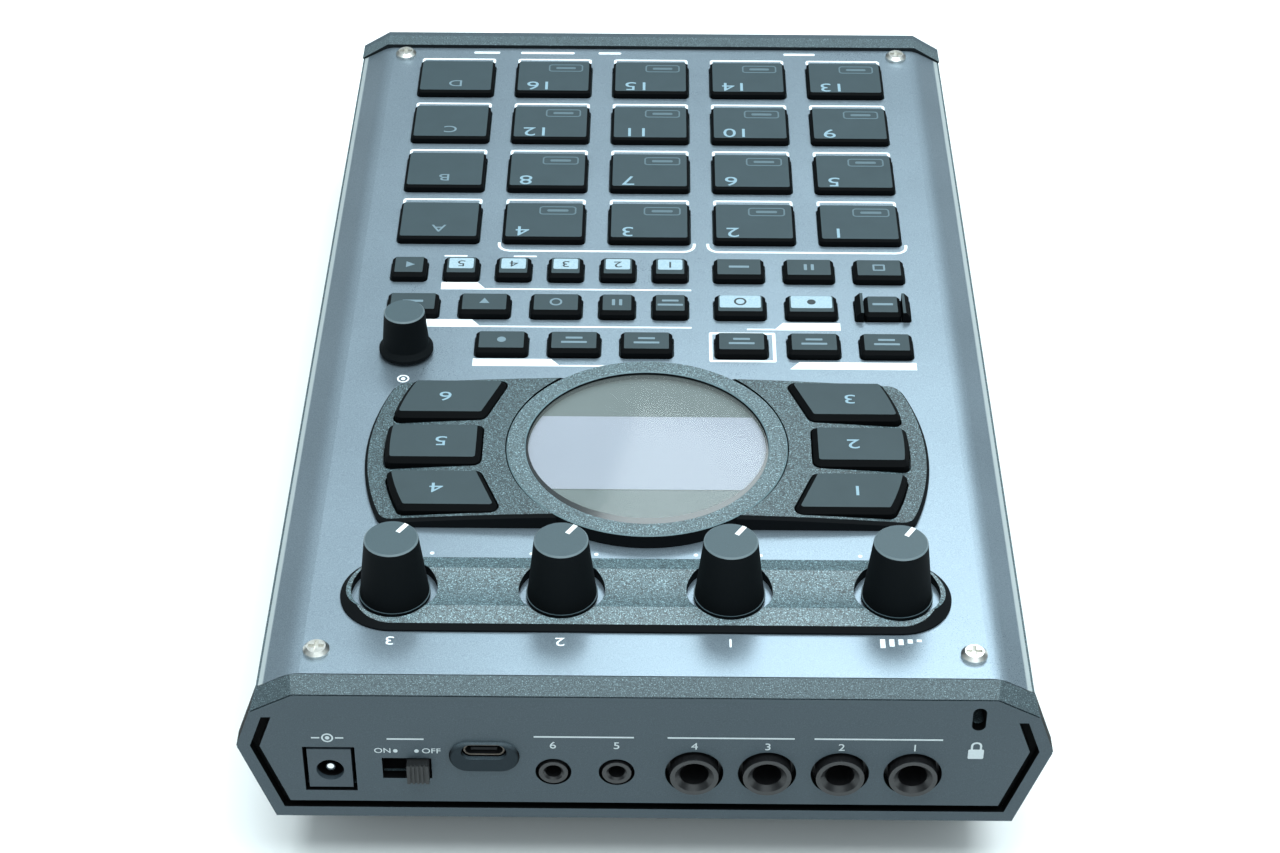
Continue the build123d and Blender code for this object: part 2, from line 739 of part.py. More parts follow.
# Screws: pan heads with a crowned top and a cross recess, all of one size
with BuildPart() as case_screws:
    with BuildSketch(deck):
        with Locations(*plate_screw_spots):
            Circle(screw_head_r)
    extrude(amount=screw_head_height)
    with BuildSketch(deck):
        with Locations(*plate_screw_spots):
            Circle(screw_r)
    extrude(amount=-screw_length)
    with BuildSketch(deck.offset(case_screw_seat_w)):
        with Locations(*case_screw_spots):
            Circle(screw_head_r)
    extrude(amount=-screw_head_height)
    with BuildSketch(deck.offset(case_screw_seat_w)):
        with Locations(*case_screw_spots):
            Circle(screw_r)
    extrude(amount=screw_length)

    def is_crown(edge):
        height = deck.to_local_coords(edge.center()).Z
        crowns = (screw_head_height, case_screw_seat_w - screw_head_height)
        return any(abs(height - crown) < 0.01 for crown in crowns)

    chamfer(case_screws.edges().filter_by(is_crown), screw_crown)
    with BuildSketch(deck.offset(screw_head_height)):
        with Locations(*plate_screw_spots):
            Rectangle(screw_cross, screw_cross_width)
            Rectangle(screw_cross_width, screw_cross)
    extrude(amount=-screw_cross_depth, mode=Mode.SUBTRACT)
    with BuildSketch(deck.offset(case_screw_seat_w - screw_head_height)):
        with Locations(*case_screw_spots):
            Rectangle(screw_cross, screw_cross_width)
            Rectangle(screw_cross_width, screw_cross)
    extrude(amount=screw_cross_depth, mode=Mode.SUBTRACT)
save(case_screws.part, "case_screws")


def pressed_piece(caps, web, stems, top, edge):
    # A pad or key: caps that rise through their holes, a flange or web below the plate, stems to the board.
    with BuildPart() as piece:
        with BuildSketch(deck.offset(flange_w)):
            add(caps)
        extrude(amount=top - flange_w)
        cap_edges = piece.faces().filter_by(lambda face: is_level_at(face, top)).edges()
        chamfer(cap_edges, edge)
        with BuildSketch(deck.offset(flange_w)):
            add(web)
        extrude(amount=-flange_thickness)
        with BuildSketch(deck.offset(stem_foot_w)):
            add(stems)
        extrude(amount=flange_w - flange_thickness - stem_foot_w)
    return piece.part


def is_level_at(face, height):
    centre = deck.to_local_coords(face.center())
    return abs(centre.Z - height) < 0.01


def rounded_boxes(spots, size_u, size_v, corner):
    with BuildSketch() as boxes:
        with Locations(*spots):
            RectangleRounded(size_u, size_v, corner)
    return boxes.sketch_local


# Pads: sixteen numbered ones in four columns and four side pads in the fifth column
for row, v in enumerate(pad_vs):
    for column, u in enumerate(pad_us):
        pad = pressed_piece(
            rounded_boxes([(u, v)], pad_hole_u - 2 * press_gap, pad_hole_v - 2 * press_gap, pad_corner - press_gap),
            rounded_boxes([(u, v)], pad_hole_u + 2 * flange_lip, pad_hole_v + 2 * flange_lip, pad_corner),
            rounded_boxes([(u, v)], pad_stem_u, pad_stem_v, pad_corner),
            pad_top,
            pad_edge,
        )
        is_side_pad = column == pad_columns - 1
        number = row + 1 if is_side_pad else row * (pad_columns - 1) + column + 1
        save(pad, f"side_pad_{number}" if is_side_pad else f"pad_{number:02d}")


def key_caps(wide_spots, small_spots):
    cap_v = key_hole_v - 2 * press_gap
    corner = key_corner - press_gap
    with BuildSketch() as caps:
        if wide_spots:
            add(rounded_boxes(wide_spots, wide_hole_u - 2 * press_gap, cap_v, corner))
        if small_spots:
            add(rounded_boxes(small_spots, small_hole_u - 2 * press_gap, cap_v, corner))
    return caps.sketch_local


def key_web(low, high):
    # The sheet that joins the keys of one mat, from its lowest corner to its highest.
    with BuildSketch() as web:
        with Locations(((low[0] + high[0]) / 2, (low[1] + high[1]) / 2)):
            RectangleRounded(high[0] - low[0], high[1] - low[1], key_corner)
    return web.sketch_local


def key_mat(wide_spots, small_spots, low, high):
    stems = rounded_boxes(wide_spots + small_spots, key_stem_u, key_stem_v, key_corner)
    return pressed_piece(key_caps(wide_spots, small_spots), key_web(low, high), stems, key_top, key_edge)


wide_reach = wide_hole_u / 2 + flange_lip
small_reach = small_hole_u / 2 + flange_lip
row_reach = key_hole_v / 2 + flange_lip

# Edit keys, mode keys and bank keys: one rubber mat for each row right of the block
edit_spots = [(u, key_vs[0]) for u in edit_us]
edit_low = (edit_us[0] - wide_reach, key_vs[0] - row_reach)
edit_high = (edit_us[-1] + wide_reach, key_vs[0] + row_reach)
save(key_mat(edit_spots, [], edit_low, edit_high), "edit_keys")

mode_wide = [(u, key_vs[1]) for u in mode_us]
mode_small = [(u, key_vs[1]) for u in small_us[:2]]
mode_low = (small_us[0] - small_reach, key_vs[1] - row_reach)
mode_high = (mode_us[-1] + wide_reach, key_vs[1] + row_reach)
save(key_mat(mode_wide, mode_small, mode_low, mode_high), "mode_keys")

bank_spots = [(u, key_vs[2]) for u in small_us]
bank_low = (small_us[0] - small_reach, key_vs[2] - row_reach)
bank_high = (small_us[-1] + small_reach, key_vs[2] + row_reach)
save(key_mat([], bank_spots, bank_low, bank_high), "bank_keys")

# Sequence keys: a three by three mat with a narrow key between two guard ridges
guard_spot = (block_us[0], key_vs[1])
block_spots = [(u, v) for u in block_us for v in key_vs]
plain_spots = [spot for spot in block_spots if spot != guard_spot]
block_low = (guard_spot[0] - guard_hole_u / 2 - flange_lip / 2, key_vs[-1] - row_reach)
block_high = (block_us[-1] + wide_reach, key_vs[0] + row_reach)
ridge_offset = guard_hole_u / 2 - press_gap - guard_ridge_u / 2
ridge_spots = [(guard_spot[0] + side * ridge_offset, guard_spot[1]) for side in (-1, 1)]
guard_cap_v = key_hole_v - 2 * press_gap
with BuildPart() as sequence_keys:
    add(key_mat(plain_spots, [], block_low, block_high))
    add(
        pressed_piece(
            rounded_boxes([guard_spot], guard_key_u, guard_cap_v, key_corner - press_gap),
            rounded_boxes([guard_spot], guard_key_u, guard_cap_v, key_corner - press_gap),
            rounded_boxes([guard_spot], key_stem_u, key_stem_v, key_corner),
            key_top,
            key_edge,
        )
    )
    with BuildSketch(deck.offset(flange_w)):
        with Locations(*ridge_spots):
            Rectangle(guard_ridge_u, guard_cap_v)
    extrude(amount=guard_ridge_top - flange_w)

    def is_ridge_crest(edge):
        spot = deck.to_local_coords(edge.center())
        outer_u = ridge_offset + guard_ridge_u / 2
        return abs(spot.Z - guard_ridge_top) < 0.01 and abs(spot.X - guard_spot[0]) > outer_u - 0.01

    chamfer(sequence_keys.edges().filter_by(is_ridge_crest), guard_ridge_bevel)
save(sequence_keys.part, "sequence_keys")

# Effect keys: each in its own pocket of the display housing
for index, (side, row) in enumerate(effect_keys):
    with BuildSketch() as cap:
        with Locations((0, display_v)):
            add(effect_outline(side, row, -press_gap))
    with BuildSketch() as lip:
        with Locations((0, display_v)):
            add(effect_outline(side, row, flange_lip))
    stem_u = side * (effect_inner_u + effect_outer_r) / 2
    stem = rounded_boxes([(stem_u, display_v + row * effect_pitch_v)], effect_stem_u, effect_stem_v, key_corner)
    key = pressed_piece(cap.sketch_local, lip.sketch_local, stem, effect_top, effect_edge)
    save(key, f"effect_key_{index + 1}")

# Display housing: a crowned overlay with rounded ends, a seat for the ring and the key pockets
with BuildPart() as display_housing:
    with BuildSketch(deck) as housing_outline:
        with Locations((0, display_v)):
            Circle(housing_r)
            Rectangle(2 * housing_r, 2 * housing_half_v, mode=Mode.INTERSECT)
        fillet(housing_outline.vertices(), housing_corner)
    extrude(amount=housing_crown)
    with BuildSketch(section):
        with BuildLine():
            Line((-housing_r, 0), (housing_r, 0))
            Line((housing_r, 0), (housing_r, housing_edge_height))
            ThreePointArc((housing_r, housing_edge_height), (0, housing_crown), (-housing_r, housing_edge_height))
            Line((-housing_r, housing_edge_height), (-housing_r, 0))
        make_face()
    extrude(amount=half_length, both=True, mode=Mode.INTERSECT)
    crown_face = display_housing.faces().sort_by(upward)[-1]
    chamfer(crown_face.edges(), housing_bevel)
    with BuildSketch(deck.offset(ring_seat)):
        with Locations((0, display_v)):
            Circle(ring_r + ring_gap)
    extrude(amount=housing_crown, mode=Mode.SUBTRACT)
    with BuildSketch(deck):
        with Locations((0, display_v)):
            Circle(ring_r)
    extrude(amount=ring_seat)
    with BuildSketch(deck):
        with Locations((0, display_v)):
            Circle(module_r + module_gap)
            for side, row in effect_keys:
                add(effect_outline(side, row, 0))
    extrude(amount=housing_crown, mode=Mode.SUBTRACT)
save(display_housing.part, "display_housing")

# Display ring with an inner lip over the window
with BuildPart() as display_ring:
    with BuildSketch(deck.offset(ring_seat)):
        with Locations((0, display_v)):
            Circle(ring_r)
            Circle(window_r + window_gap, mode=Mode.SUBTRACT)
    extrude(amount=ring_height - ring_lip_thickness - ring_seat)
    with BuildSketch(deck.offset(ring_height - ring_lip_thickness)):
        with Locations((0, display_v)):
            Circle(ring_r)
            Circle(ring_lip_r, mode=Mode.SUBTRACT)
    extrude(amount=ring_lip_thickness)
    chamfer(display_ring.faces().sort_by(upward)[-1].edges(), ring_edge)
save(display_ring.part, "display_ring")

# Round window under the ring's lip
window_top = ring_height - ring_lip_thickness
with BuildPart() as display_window:
    with BuildSketch(deck.offset(window_top - window_thickness)):
        with Locations((0, display_v)):
            Circle(window_r)
    extrude(amount=window_thickness)
save(display_window.part, "display_window")

# Display module: a round carrier on the key board with a wide screen on its face
carrier_top = window_top - window_thickness - window_air - screen_step
with BuildPart() as display_module:
    with BuildSketch(deck.offset(key_board_w)):
        with Locations((0, display_v)):
            Circle(module_r)
    extrude(amount=carrier_top - key_board_w)
    with BuildSketch(deck.offset(carrier_top)):
        with Locations((0, display_v)):
            Circle(module_r)
            Rectangle(screen_u, screen_v, mode=Mode.INTERSECT)
    extrude(amount=screen_step)
save(display_module.part, "display_module")

# Knob surround: a raised stadium with two ridges, a scoop between them and a well round each knob
with BuildPart() as knob_trough:
    with BuildSketch(deck):
        with Locations((0, knob_row_v)):
            SlotCenterToCenter(knob_us[-1] - knob_us[0], 2 * trough_r)
    extrude(amount=trough_foot_height)
    with BuildSketch(deck.offset(trough_foot_height)):
        with Locations((0, knob_row_v)):
            SlotCenterToCenter(knob_us[-1] - knob_us[0], 2 * trough_r)
    wall_taper = degrees(atan2(trough_r - trough_shoulder_r, trough_shoulder - trough_foot_height))
    extrude(amount=trough_ridge - trough_foot_height, taper=wall_taper)
    with BuildSketch(trough_section):
        with BuildLine():
            Polyline(
                (-trough_ridge_v, trough_ridge),
                (-trough_shoulder_r, trough_shoulder),
                (-trough_r, trough_shoulder),
                (-trough_r, 0),
                (trough_r, 0),
                (trough_r, trough_shoulder),
                (trough_shoulder_r, trough_shoulder),
                (trough_ridge_v, trough_ridge),
            )
            ThreePointArc((trough_ridge_v, trough_ridge), (0, trough_scoop), (-trough_ridge_v, trough_ridge))
        make_face()
    extrude(amount=case_width, both=True, mode=Mode.INTERSECT)
    with BuildSketch(deck):
        with Locations(*[(u, knob_row_v) for u in knob_us]):
            Circle(trough_well_r)
    extrude(amount=trough_ridge, mode=Mode.SUBTRACT)
save(knob_trough.part, "knob_trough")


def turned_knob(axis_plane, profile, cavity, shaft_span):
    # A knob cap turned from its half profile, with its shaft pressed into the hub.
    side_plane = Plane(origin=axis_plane.origin, x_dir=axis_plane.x_dir, z_dir=-axis_plane.y_dir)
    with BuildPart() as cap:
        with BuildSketch(side_plane):
            with BuildLine():
                Polyline(*profile, close=True)
            make_face()
        revolve(axis=Axis(axis_plane.origin, axis_plane.z_dir))
        if cavity:
            cavity_r, hub_r, low, high, hub_foot = cavity
            with BuildSketch(axis_plane.offset(low)):
                Circle(cavity_r)
            extrude(amount=high - low, mode=Mode.SUBTRACT)
            with BuildSketch(axis_plane.offset(hub_foot)):
                Circle(hub_r)
            extrude(amount=high - hub_foot)
        with BuildSketch(axis_plane.offset(shaft_span[0])):
            Circle(shaft_r + press_fit_gap)
        extrude(amount=shaft_span[1] - shaft_span[0] + press_fit_gap, mode=Mode.SUBTRACT)
    with BuildPart() as shaft:
        with BuildSketch(axis_plane.offset(shaft_span[0])):
            Circle(shaft_r)
        extrude(amount=shaft_span[1] - shaft_span[0])
    return Compound(children=[cap.part, shaft.part])


# Control knobs
shaft_foot_w = key_board_w + board_thickness / 2
knob_profile = [
    (0, knob_base_gap),
    (knob_base_r + knob_lip, knob_base_gap),
    (knob_base_r + knob_lip, knob_base_gap + knob_lip_height),
    (knob_base_r, knob_base_gap + knob_lip_height),
    (knob_top_r, knob_top - knob_edge),
    (knob_top_r - knob_edge, knob_top),
    (0, knob_top),
]
knob_cavity = (knob_cavity_r, knob_hub_r, knob_base_gap, knob_cavity_top, knob_hub_foot)
for index, u in enumerate(knob_us):
    knob_axis = Plane(origin=deck.from_local_coords((u, knob_row_v, 0)), x_dir=deck.x_dir, z_dir=deck.z_dir)
    knob = turned_knob(knob_axis, knob_profile, knob_cavity, (shaft_foot_w, shaft_top))
    save(knob, f"control_knob_{index + 1}")

# Value knob: a flared skirt under a slim body, pressed on the encoder's shaft
plunger_foot_w = key_board_w + board_thickness / 2 + plunger_room
plunger_top_w = plunger_foot_w + plunger_length
encoder_axis = Plane(
    origin=deck.from_local_coords((encoder_u, encoder_v, 0)), x_dir=deck.x_dir, z_dir=deck.z_dir
)
value_profile = [
    (0, value_base_gap),
    (value_base_r, value_base_gap),
    (value_base_r, value_base_gap + knob_lip_height),
    (value_skirt_r, value_skirt),
    (value_top_r, value_top - knob_edge),
    (value_top_r - knob_edge, value_top),
    (0, value_top),
]
value_knob = turned_knob(encoder_axis, value_profile, None, (plunger_top_w + running_gap, shaft_top - value_skirt))
save(value_knob, "value_knob")

with BuildPart() as encoder_plunger:
    with BuildSketch(encoder_axis.offset(plunger_foot_w)):
        Circle(shaft_r)
    extrude(amount=plunger_length)
save(encoder_plunger.part, "encoder_plunger")


def control_body(seat, bore_foot):
    # A potentiometer or encoder body under its seat plane, with a bushing and the shaft's bore.
    with BuildPart() as body:
        with BuildSketch(seat.offset(-bushing_gap)):
            Circle(bushing_r)
        extrude(amount=-bushing_height)
        with BuildSketch(seat.offset(-bushing_gap - bushing_height)):
            Rectangle(control_side, control_side)
        extrude(amount=-control_height)
        with BuildSketch(seat.offset(-bushing_gap)):
            Circle(shaft_r + running_gap)
        extrude(amount=-bore_foot, mode=Mode.SUBTRACT)
    return body.part


# Potentiometers: four under the face plate and the gain control behind the front panel
bore_foot = bushing_height + control_height - board_thickness / 2 + running_gap
gain_seat = Plane(
    origin=front_face.offset(-gain_well_depth - gain_well_wall).from_local_coords((gain_u, socket_w, 0)),
    x_dir=front_face.x_dir,
    z_dir=front_face.z_dir,
)
pot_seats = [
    Plane(origin=deck.from_local_coords((u, knob_row_v, plate_under_w)), x_dir=deck.x_dir, z_dir=deck.z_dir)
    for u in knob_us
]
pot_bodies = Compound(children=[control_body(seat, bore_foot) for seat in pot_seats + [gain_seat]])
save(pot_bodies, "pot_bodies")

encoder_seat = encoder_axis.offset(plate_under_w)
save(control_body(encoder_seat, bore_foot), "encoder_body")

# Gain knob, sunk in its well and level with the front panel
gain_foot = -gain_well_depth + gain_knob_gap
gain_axis = Plane(
    origin=front_face.from_local_coords((gain_u, socket_w, 0)), x_dir=front_face.x_dir, z_dir=front_face.z_dir
)
gain_profile = [
    (0, gain_foot),
    (gain_knob_r, gain_foot),
    (gain_knob_r, -knob_edge),
    (gain_knob_r - knob_edge, 0),
    (0, 0),
]
gain_shaft_foot = -gain_well_depth - gain_well_wall - bushing_gap - bore_foot + running_gap
save(turned_knob(gain_axis, gain_profile, None, (gain_shaft_foot, -gain_knob_gap * 3)), "gain_knob")

# Boards
with BuildPart() as key_board:
    with BuildSketch(deck.offset(key_board_w)):
        with Locations((0, (key_board_front_v + key_board_rear_v) / 2)):
            Rectangle(2 * key_board_u, key_board_rear_v - key_board_front_v)
    extrude(amount=-board_thickness)
save(key_board.part, "key_board")

with BuildPart() as main_board:
    with BuildSketch(deck.offset(main_board_w)):
        Rectangle(2 * main_board_u, 2 * main_board_v)
        with Locations(*board_post_spots):
            Circle(board_pin_r + board_pin_gap, mode=Mode.SUBTRACT)
    extrude(amount=board_thickness)
save(main_board.part, "main_board")


def socket(face_plane, u, side, body_length, proud, nose_r, bore_r, bore_depth, chamfer_size):
    # A jack socket behind a panel: a boxy body under the board with a round nose through the panel's hole.
    nose = end_wall + socket_seat_gap + proud
    with BuildPart() as body:
        with BuildSketch(face_plane):
            with Locations((u, socket_w)):
                Rectangle(side, 2 * (main_board_w - socket_w))
        extrude(amount=body_length)
        with BuildSketch(face_plane):
            with Locations((u, socket_w)):
                Circle(nose_r)
        extrude(amount=-nose)
        with BuildSketch(face_plane.offset(-nose)):
            with Locations((u, socket_w)):
                Circle(bore_r)
        extrude(amount=bore_depth, mode=Mode.SUBTRACT)
        mouth = body.edges().filter_by(GeomType.CIRCLE).filter_by(lambda edge: abs(edge.radius - bore_r) < 0.001)
        chamfer(mouth.sort_by(Axis(face_plane.origin, face_plane.z_dir))[0], chamfer_size)
    return body.part


# Large sockets: four at the rear, two at the front
rear_seat = rear_face.offset(end_wall + socket_seat_gap)
front_seat = Plane(
    origin=front_face.offset(-end_wall - socket_seat_gap).origin,
    x_dir=-front_face.x_dir,
    z_dir=-front_face.z_dir,
)
jack_sizes = (control_side, jack_length, jack_proud, jack_nose_r, jack_bore_r, jack_bore_depth, jack_bore_chamfer)
mini_sizes = (mini_side, mini_length, mini_proud, mini_nose_r, mini_bore_r, mini_bore_depth, mini_bore_chamfer)
rear_jacks = [socket(rear_seat, u, *jack_sizes) for u in jack_us]
front_jacks = [socket(front_seat, -u, *jack_sizes) for u in front_jack_us]
save(Compound(children=rear_jacks + front_jacks), "phone_jacks")

# Small sockets: two at the rear, one at the front
rear_minis = [socket(rear_seat, u, *mini_sizes) for u in mini_us]
save(Compound(children=rear_minis + [socket(front_seat, -front_mini_u, *mini_sizes)]), "mini_jacks")

# USB socket: a pressed shell with a contact tongue
with BuildPart() as usb_port:
    with BuildSketch(rear_face):
        with Locations((usb_u, usb_w)):
            SlotOverall(usb_width, usb_height)
    extrude(amount=usb_length)
    with BuildSketch(rear_face):
        with Locations((usb_u, usb_w)):
            SlotOverall(usb_width - 2 * usb_wall, usb_height - 2 * usb_wall)
    extrude(amount=usb_length - usb_wall, mode=Mode.SUBTRACT)
    with BuildSketch(rear_face.offset(usb_wall)):
        with Locations((usb_u, usb_w)):
            Rectangle(usb_width - usb_height, usb_tongue)
    extrude(amount=usb_length - usb_wall)
save(usb_port.part, "usb_port")

# Power inlet: a square block with a round hole and a centre pin
with BuildPart() as dc_jack:
    with BuildSketch(rear_face.offset(inlet_face_gap)):
        with Locations((inlet_u, (main_board_w + inlet_foot_w) / 2)):
            Rectangle(inlet_width, main_board_w - inlet_foot_w)
    extrude(amount=inlet_length)
    with BuildSketch(rear_face.offset(inlet_face_gap)):
        with Locations((inlet_u, inlet_hole_w)):
            Circle(inlet_hole_r)
            Circle(inlet_pin_r, mode=Mode.SUBTRACT)
    extrude(amount=inlet_hole_depth, mode=Mode.SUBTRACT)
    with BuildSketch(rear_face.offset(inlet_face_gap)):
        with Locations((inlet_u, inlet_hole_w)):
            Circle(inlet_pin_r)
    extrude(amount=inlet_pin_r, mode=Mode.SUBTRACT)
save(dc_jack.part, "dc_jack")


def switch_body(seat, u):
    # A slide switch body behind a panel, with the channel that its lever runs in.
    with BuildPart() as body:
        with BuildSketch(seat):
            low_w = switch_w - (main_board_w - switch_w)
            with Locations((u, (main_board_w + low_w) / 2)):
                Rectangle(switch_body_u, main_board_w - low_w)
        extrude(amount=switch_body_depth)
        with BuildSketch(seat):
            with Locations((u, switch_w)):
                Rectangle(switch_slot_u + 2 * switch_gap, lever_w + 2 * switch_gap)
        extrude(amount=switch_channel, mode=Mode.SUBTRACT)
    return body.part


def switch_lever(seat, u):
    # The lever, from the floor of its channel to its ribbed tip outside the panel.
    length = switch_channel - switch_gap + socket_seat_gap + end_wall + lever_proud
    with BuildPart() as lever:
        with BuildSketch(seat.offset(switch_channel - switch_gap)):
            with Locations((u, switch_w)):
                Rectangle(lever_u, lever_w)
        extrude(amount=-length)
        with BuildSketch(seat.offset(switch_channel - switch_gap - length)):
            with Locations((u, switch_w)):
                with GridLocations(lever_u / lever_ribs, 0, lever_ribs - 1, 1):
                    Rectangle(lever_u / lever_ribs / 2, lever_w)
        extrude(amount=lever_rib_depth, mode=Mode.SUBTRACT)
    return lever.part


switch_bodies = Compound(
    children=[switch_body(rear_seat, switch_power_u), switch_body(front_seat, -switch_input_u)]
)
save(switch_bodies, "switch_bodies")
save(switch_lever(rear_seat, switch_power_u - lever_travel / 2), "power_switch")
save(switch_lever(front_seat, -switch_input_u - lever_travel / 2), "input_switch")
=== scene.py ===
import json
import math

import bmesh
import bpy
from mathutils import Matrix, Vector


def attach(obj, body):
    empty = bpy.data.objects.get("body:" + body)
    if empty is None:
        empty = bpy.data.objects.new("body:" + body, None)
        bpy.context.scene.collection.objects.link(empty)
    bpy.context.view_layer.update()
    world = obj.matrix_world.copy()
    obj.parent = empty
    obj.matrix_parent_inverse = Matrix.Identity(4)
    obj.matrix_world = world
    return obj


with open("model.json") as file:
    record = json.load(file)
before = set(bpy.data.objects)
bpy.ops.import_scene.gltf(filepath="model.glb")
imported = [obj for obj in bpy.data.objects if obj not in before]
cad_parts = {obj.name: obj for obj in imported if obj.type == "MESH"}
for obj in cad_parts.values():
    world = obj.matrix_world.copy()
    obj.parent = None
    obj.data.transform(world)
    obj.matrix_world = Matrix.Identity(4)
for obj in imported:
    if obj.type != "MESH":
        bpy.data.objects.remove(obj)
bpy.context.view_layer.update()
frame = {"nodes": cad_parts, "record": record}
nodes = frame["nodes"]
scene = bpy.context.scene
scene.view_settings.view_transform = "Standard"
mm = 0.001
print("frame loaded,", len(nodes), "CAD nodes")

# the deck lies on the face plate: u across, v to the rear, w square to it, in millimetres
deck = {"tilt": math.radians(3.0), "y": -0.000571, "z": 0.0481008, "halfLength": 137.2}
deckTurn = Matrix.Translation((0, deck["y"], deck["z"])) @ Matrix.Rotation(deck["tilt"], 4, "X")


def onDeck(w):
    return deckTurn @ Matrix.Translation((0, 0, w * mm))


def onRear():
    # drawings here read the right way round to someone behind the unit
    turn = Matrix(((-1, 0, 0, 0), (0, 0, 1, 0), (0, 1, 0, 0), (0, 0, 0, 1)))
    return deckTurn @ Matrix.Translation((0, deck["halfLength"] * mm, 0)) @ turn


def onFront():
    # and here to someone in front of it
    turn = Matrix(((1, 0, 0, 0), (0, 0, -1, 0), (0, 1, 0, 0), (0, 0, 0, 1)))
    return deckTurn @ Matrix.Translation((0, -deck["halfLength"] * mm, 0)) @ turn


def scaled(shade, factor):
    return tuple(factor * part for part in shade)


class Value:
    # one number running through a material; sums and products on it add Math nodes
    def __init__(self, finish, socket):
        self.finish = finish
        self.socket = socket

    def sum(self, operation, first, second=0.0):
        return self.finish.node("ShaderNodeMath", {"operation": operation}, {0: first, 1: second})

    def __add__(self, other):
        return self.sum("ADD", self, other)

    def __radd__(self, other):
        return self.sum("ADD", other, self)

    def __sub__(self, other):
        return self.sum("SUBTRACT", self, other)

    def __rsub__(self, other):
        return self.sum("SUBTRACT", other, self)

    def __mul__(self, other):
        return self.sum("MULTIPLY", self, other)

    def __rmul__(self, other):
        return self.sum("MULTIPLY", other, self)

    def __gt__(self, other):
        return self.sum("GREATER_THAN", self, other)

    def __lt__(self, other):
        return self.sum("LESS_THAN", self, other)

    def __abs__(self):
        return self.sum("ABSOLUTE", self)


class Finish:
    # one material or sky, built node by node
    def __init__(self, name, made=None):
        self.made = made or bpy.data.materials.new(name)
        self.made.use_nodes = True
        self.tree = self.made.node_tree
        self.tree.nodes.clear()

    def node(self, kind, settings=None, inputs=None, out=0):
        made = self.tree.nodes.new(kind)
        for key, value in (settings or {}).items():
            if key == "stops":
                ramp = made.color_ramp
                while len(ramp.elements) < len(value):
                    ramp.elements.new(0.5)
                for element, (place, shade) in zip(ramp.elements, value):
                    element.position = place
                    element.color = (*shade, 1.0)
            else:
                setattr(made, key, value)
        for key, value in (inputs or {}).items():
            if isinstance(value, Value):
                self.tree.links.new(value.socket, made.inputs[key])
            elif isinstance(value, tuple) and len(value) == 3 and made.inputs[key].type == "RGBA":
                made.inputs[key].default_value = (*value, 1.0)
            else:
                made.inputs[key].default_value = value
        return Value(self, made.outputs[out]) if made.outputs else None

    def place(self):
        return self.node("ShaderNodeTexCoord", out="Object")

    def deckPlace(self):
        # the same coordinates turned to lie along the deck
        spot = {"Vector": self.place(), "Location": (0, deck["y"], deck["z"]), "Rotation": (deck["tilt"], 0, 0)}
        return self.node("ShaderNodeMapping", {"vector_type": "TEXTURE"}, spot)

    def along(self, axis):
        return self.node("ShaderNodeSeparateXYZ", None, {0: self.deckPlace()}, out=axis)

    def facing(self, way=(0, 0, 1)):
        # how far a face turns to one of the deck's own directions, its normal unless another is given
        normal = self.node("ShaderNodeNewGeometry", out="Normal")
        turned = tuple(deckTurn.to_3x3() @ Vector(way))
        return self.node("ShaderNodeVectorMath", {"operation": "DOT_PRODUCT"}, {0: normal, 1: turned}, out="Value")

    def grain(self, scale, detail=2.0, rough=0.5):
        sizes = {"Vector": self.place(), "Scale": scale, "Detail": detail, "Roughness": rough}
        return self.node("ShaderNodeTexNoise", {"noise_dimensions": "3D"}, sizes, out=0)

    def spread(self, value, low, high):
        # stretches a band of values over 0 to 1
        band = {"Value": value, "From Min": low, "From Max": high}
        return self.node("ShaderNodeMapRange", {"clamp": True}, band)

    def speckle(self, noise):
        # most of a noise lies in its middle, so that band alone fills 0 to 1
        return self.spread(noise, 0.3, 0.7)

    def mix(self, factor, first, second):
        return self.node("ShaderNodeMix", {"data_type": "RGBA"}, {0: factor, 6: first, 7: second}, out=2)

    def bump(self, height, depth, strength=1.0):
        return self.node("ShaderNodeBump", None, {"Height": height, "Distance": depth * mm, "Strength": strength})

    def body(self, **sockets):
        names = {key.replace("_", " "): value for key, value in sockets.items()}
        return self.node("ShaderNodeBsdfPrincipled", None, names)

    def shown(self, body):
        self.node("ShaderNodeOutputMaterial", None, {"Surface": body})
        return self.made

    def surface(self, **sockets):
        return self.shown(self.body(**sockets))

    def shadeWalls(self, up, top, shade):
        # faces that turn up take the given body, and upright ones a matt dark one: painted shade on upright walls
        wallShade = self.body(Base_Color=shade, Roughness=0.75, Specular_IOR_Level=0.08)
        return self.shown(self.node("ShaderNodeMixShader", None, {0: up, 1: wallShade, 2: top}))


def paintedPlate():
    # metallic paint, with a pale band painted along the foot of each side as a highlight line
    look = {
        "dark": (0.215, 0.275, 0.325),
        "light": (0.335, 0.415, 0.485),
        "footHighlight": (0.42, 0.47, 0.48),
        "highlightBegins": -3.1,
        "highlightFull": -3.3,
    }
    f = Finish("plate paint")
    flake = f.speckle(f.grain(4300, 1.0))
    cloud = f.speckle(f.grain(26, 3.0))
    # a painted highlight: a pale, less metallic band low on each side's foot
    footHighlight = f.spread(f.along("Z"), look["highlightBegins"] * mm, look["highlightFull"] * mm)
    paint = f.mix(0.8 * flake + 0.2 * cloud, look["dark"], look["light"])
    return f.surface(
        Base_Color=f.mix(footHighlight, paint, look["footHighlight"]),
        Metallic=0.75 - 0.5 * footHighlight,
        Roughness=0.27 + 0.08 * flake + 0.03 * cloud,
        Normal=f.bump(flake, 0.012, 0.35),
        Coat_Weight=0.1,
        Coat_Roughness=0.3,
    )


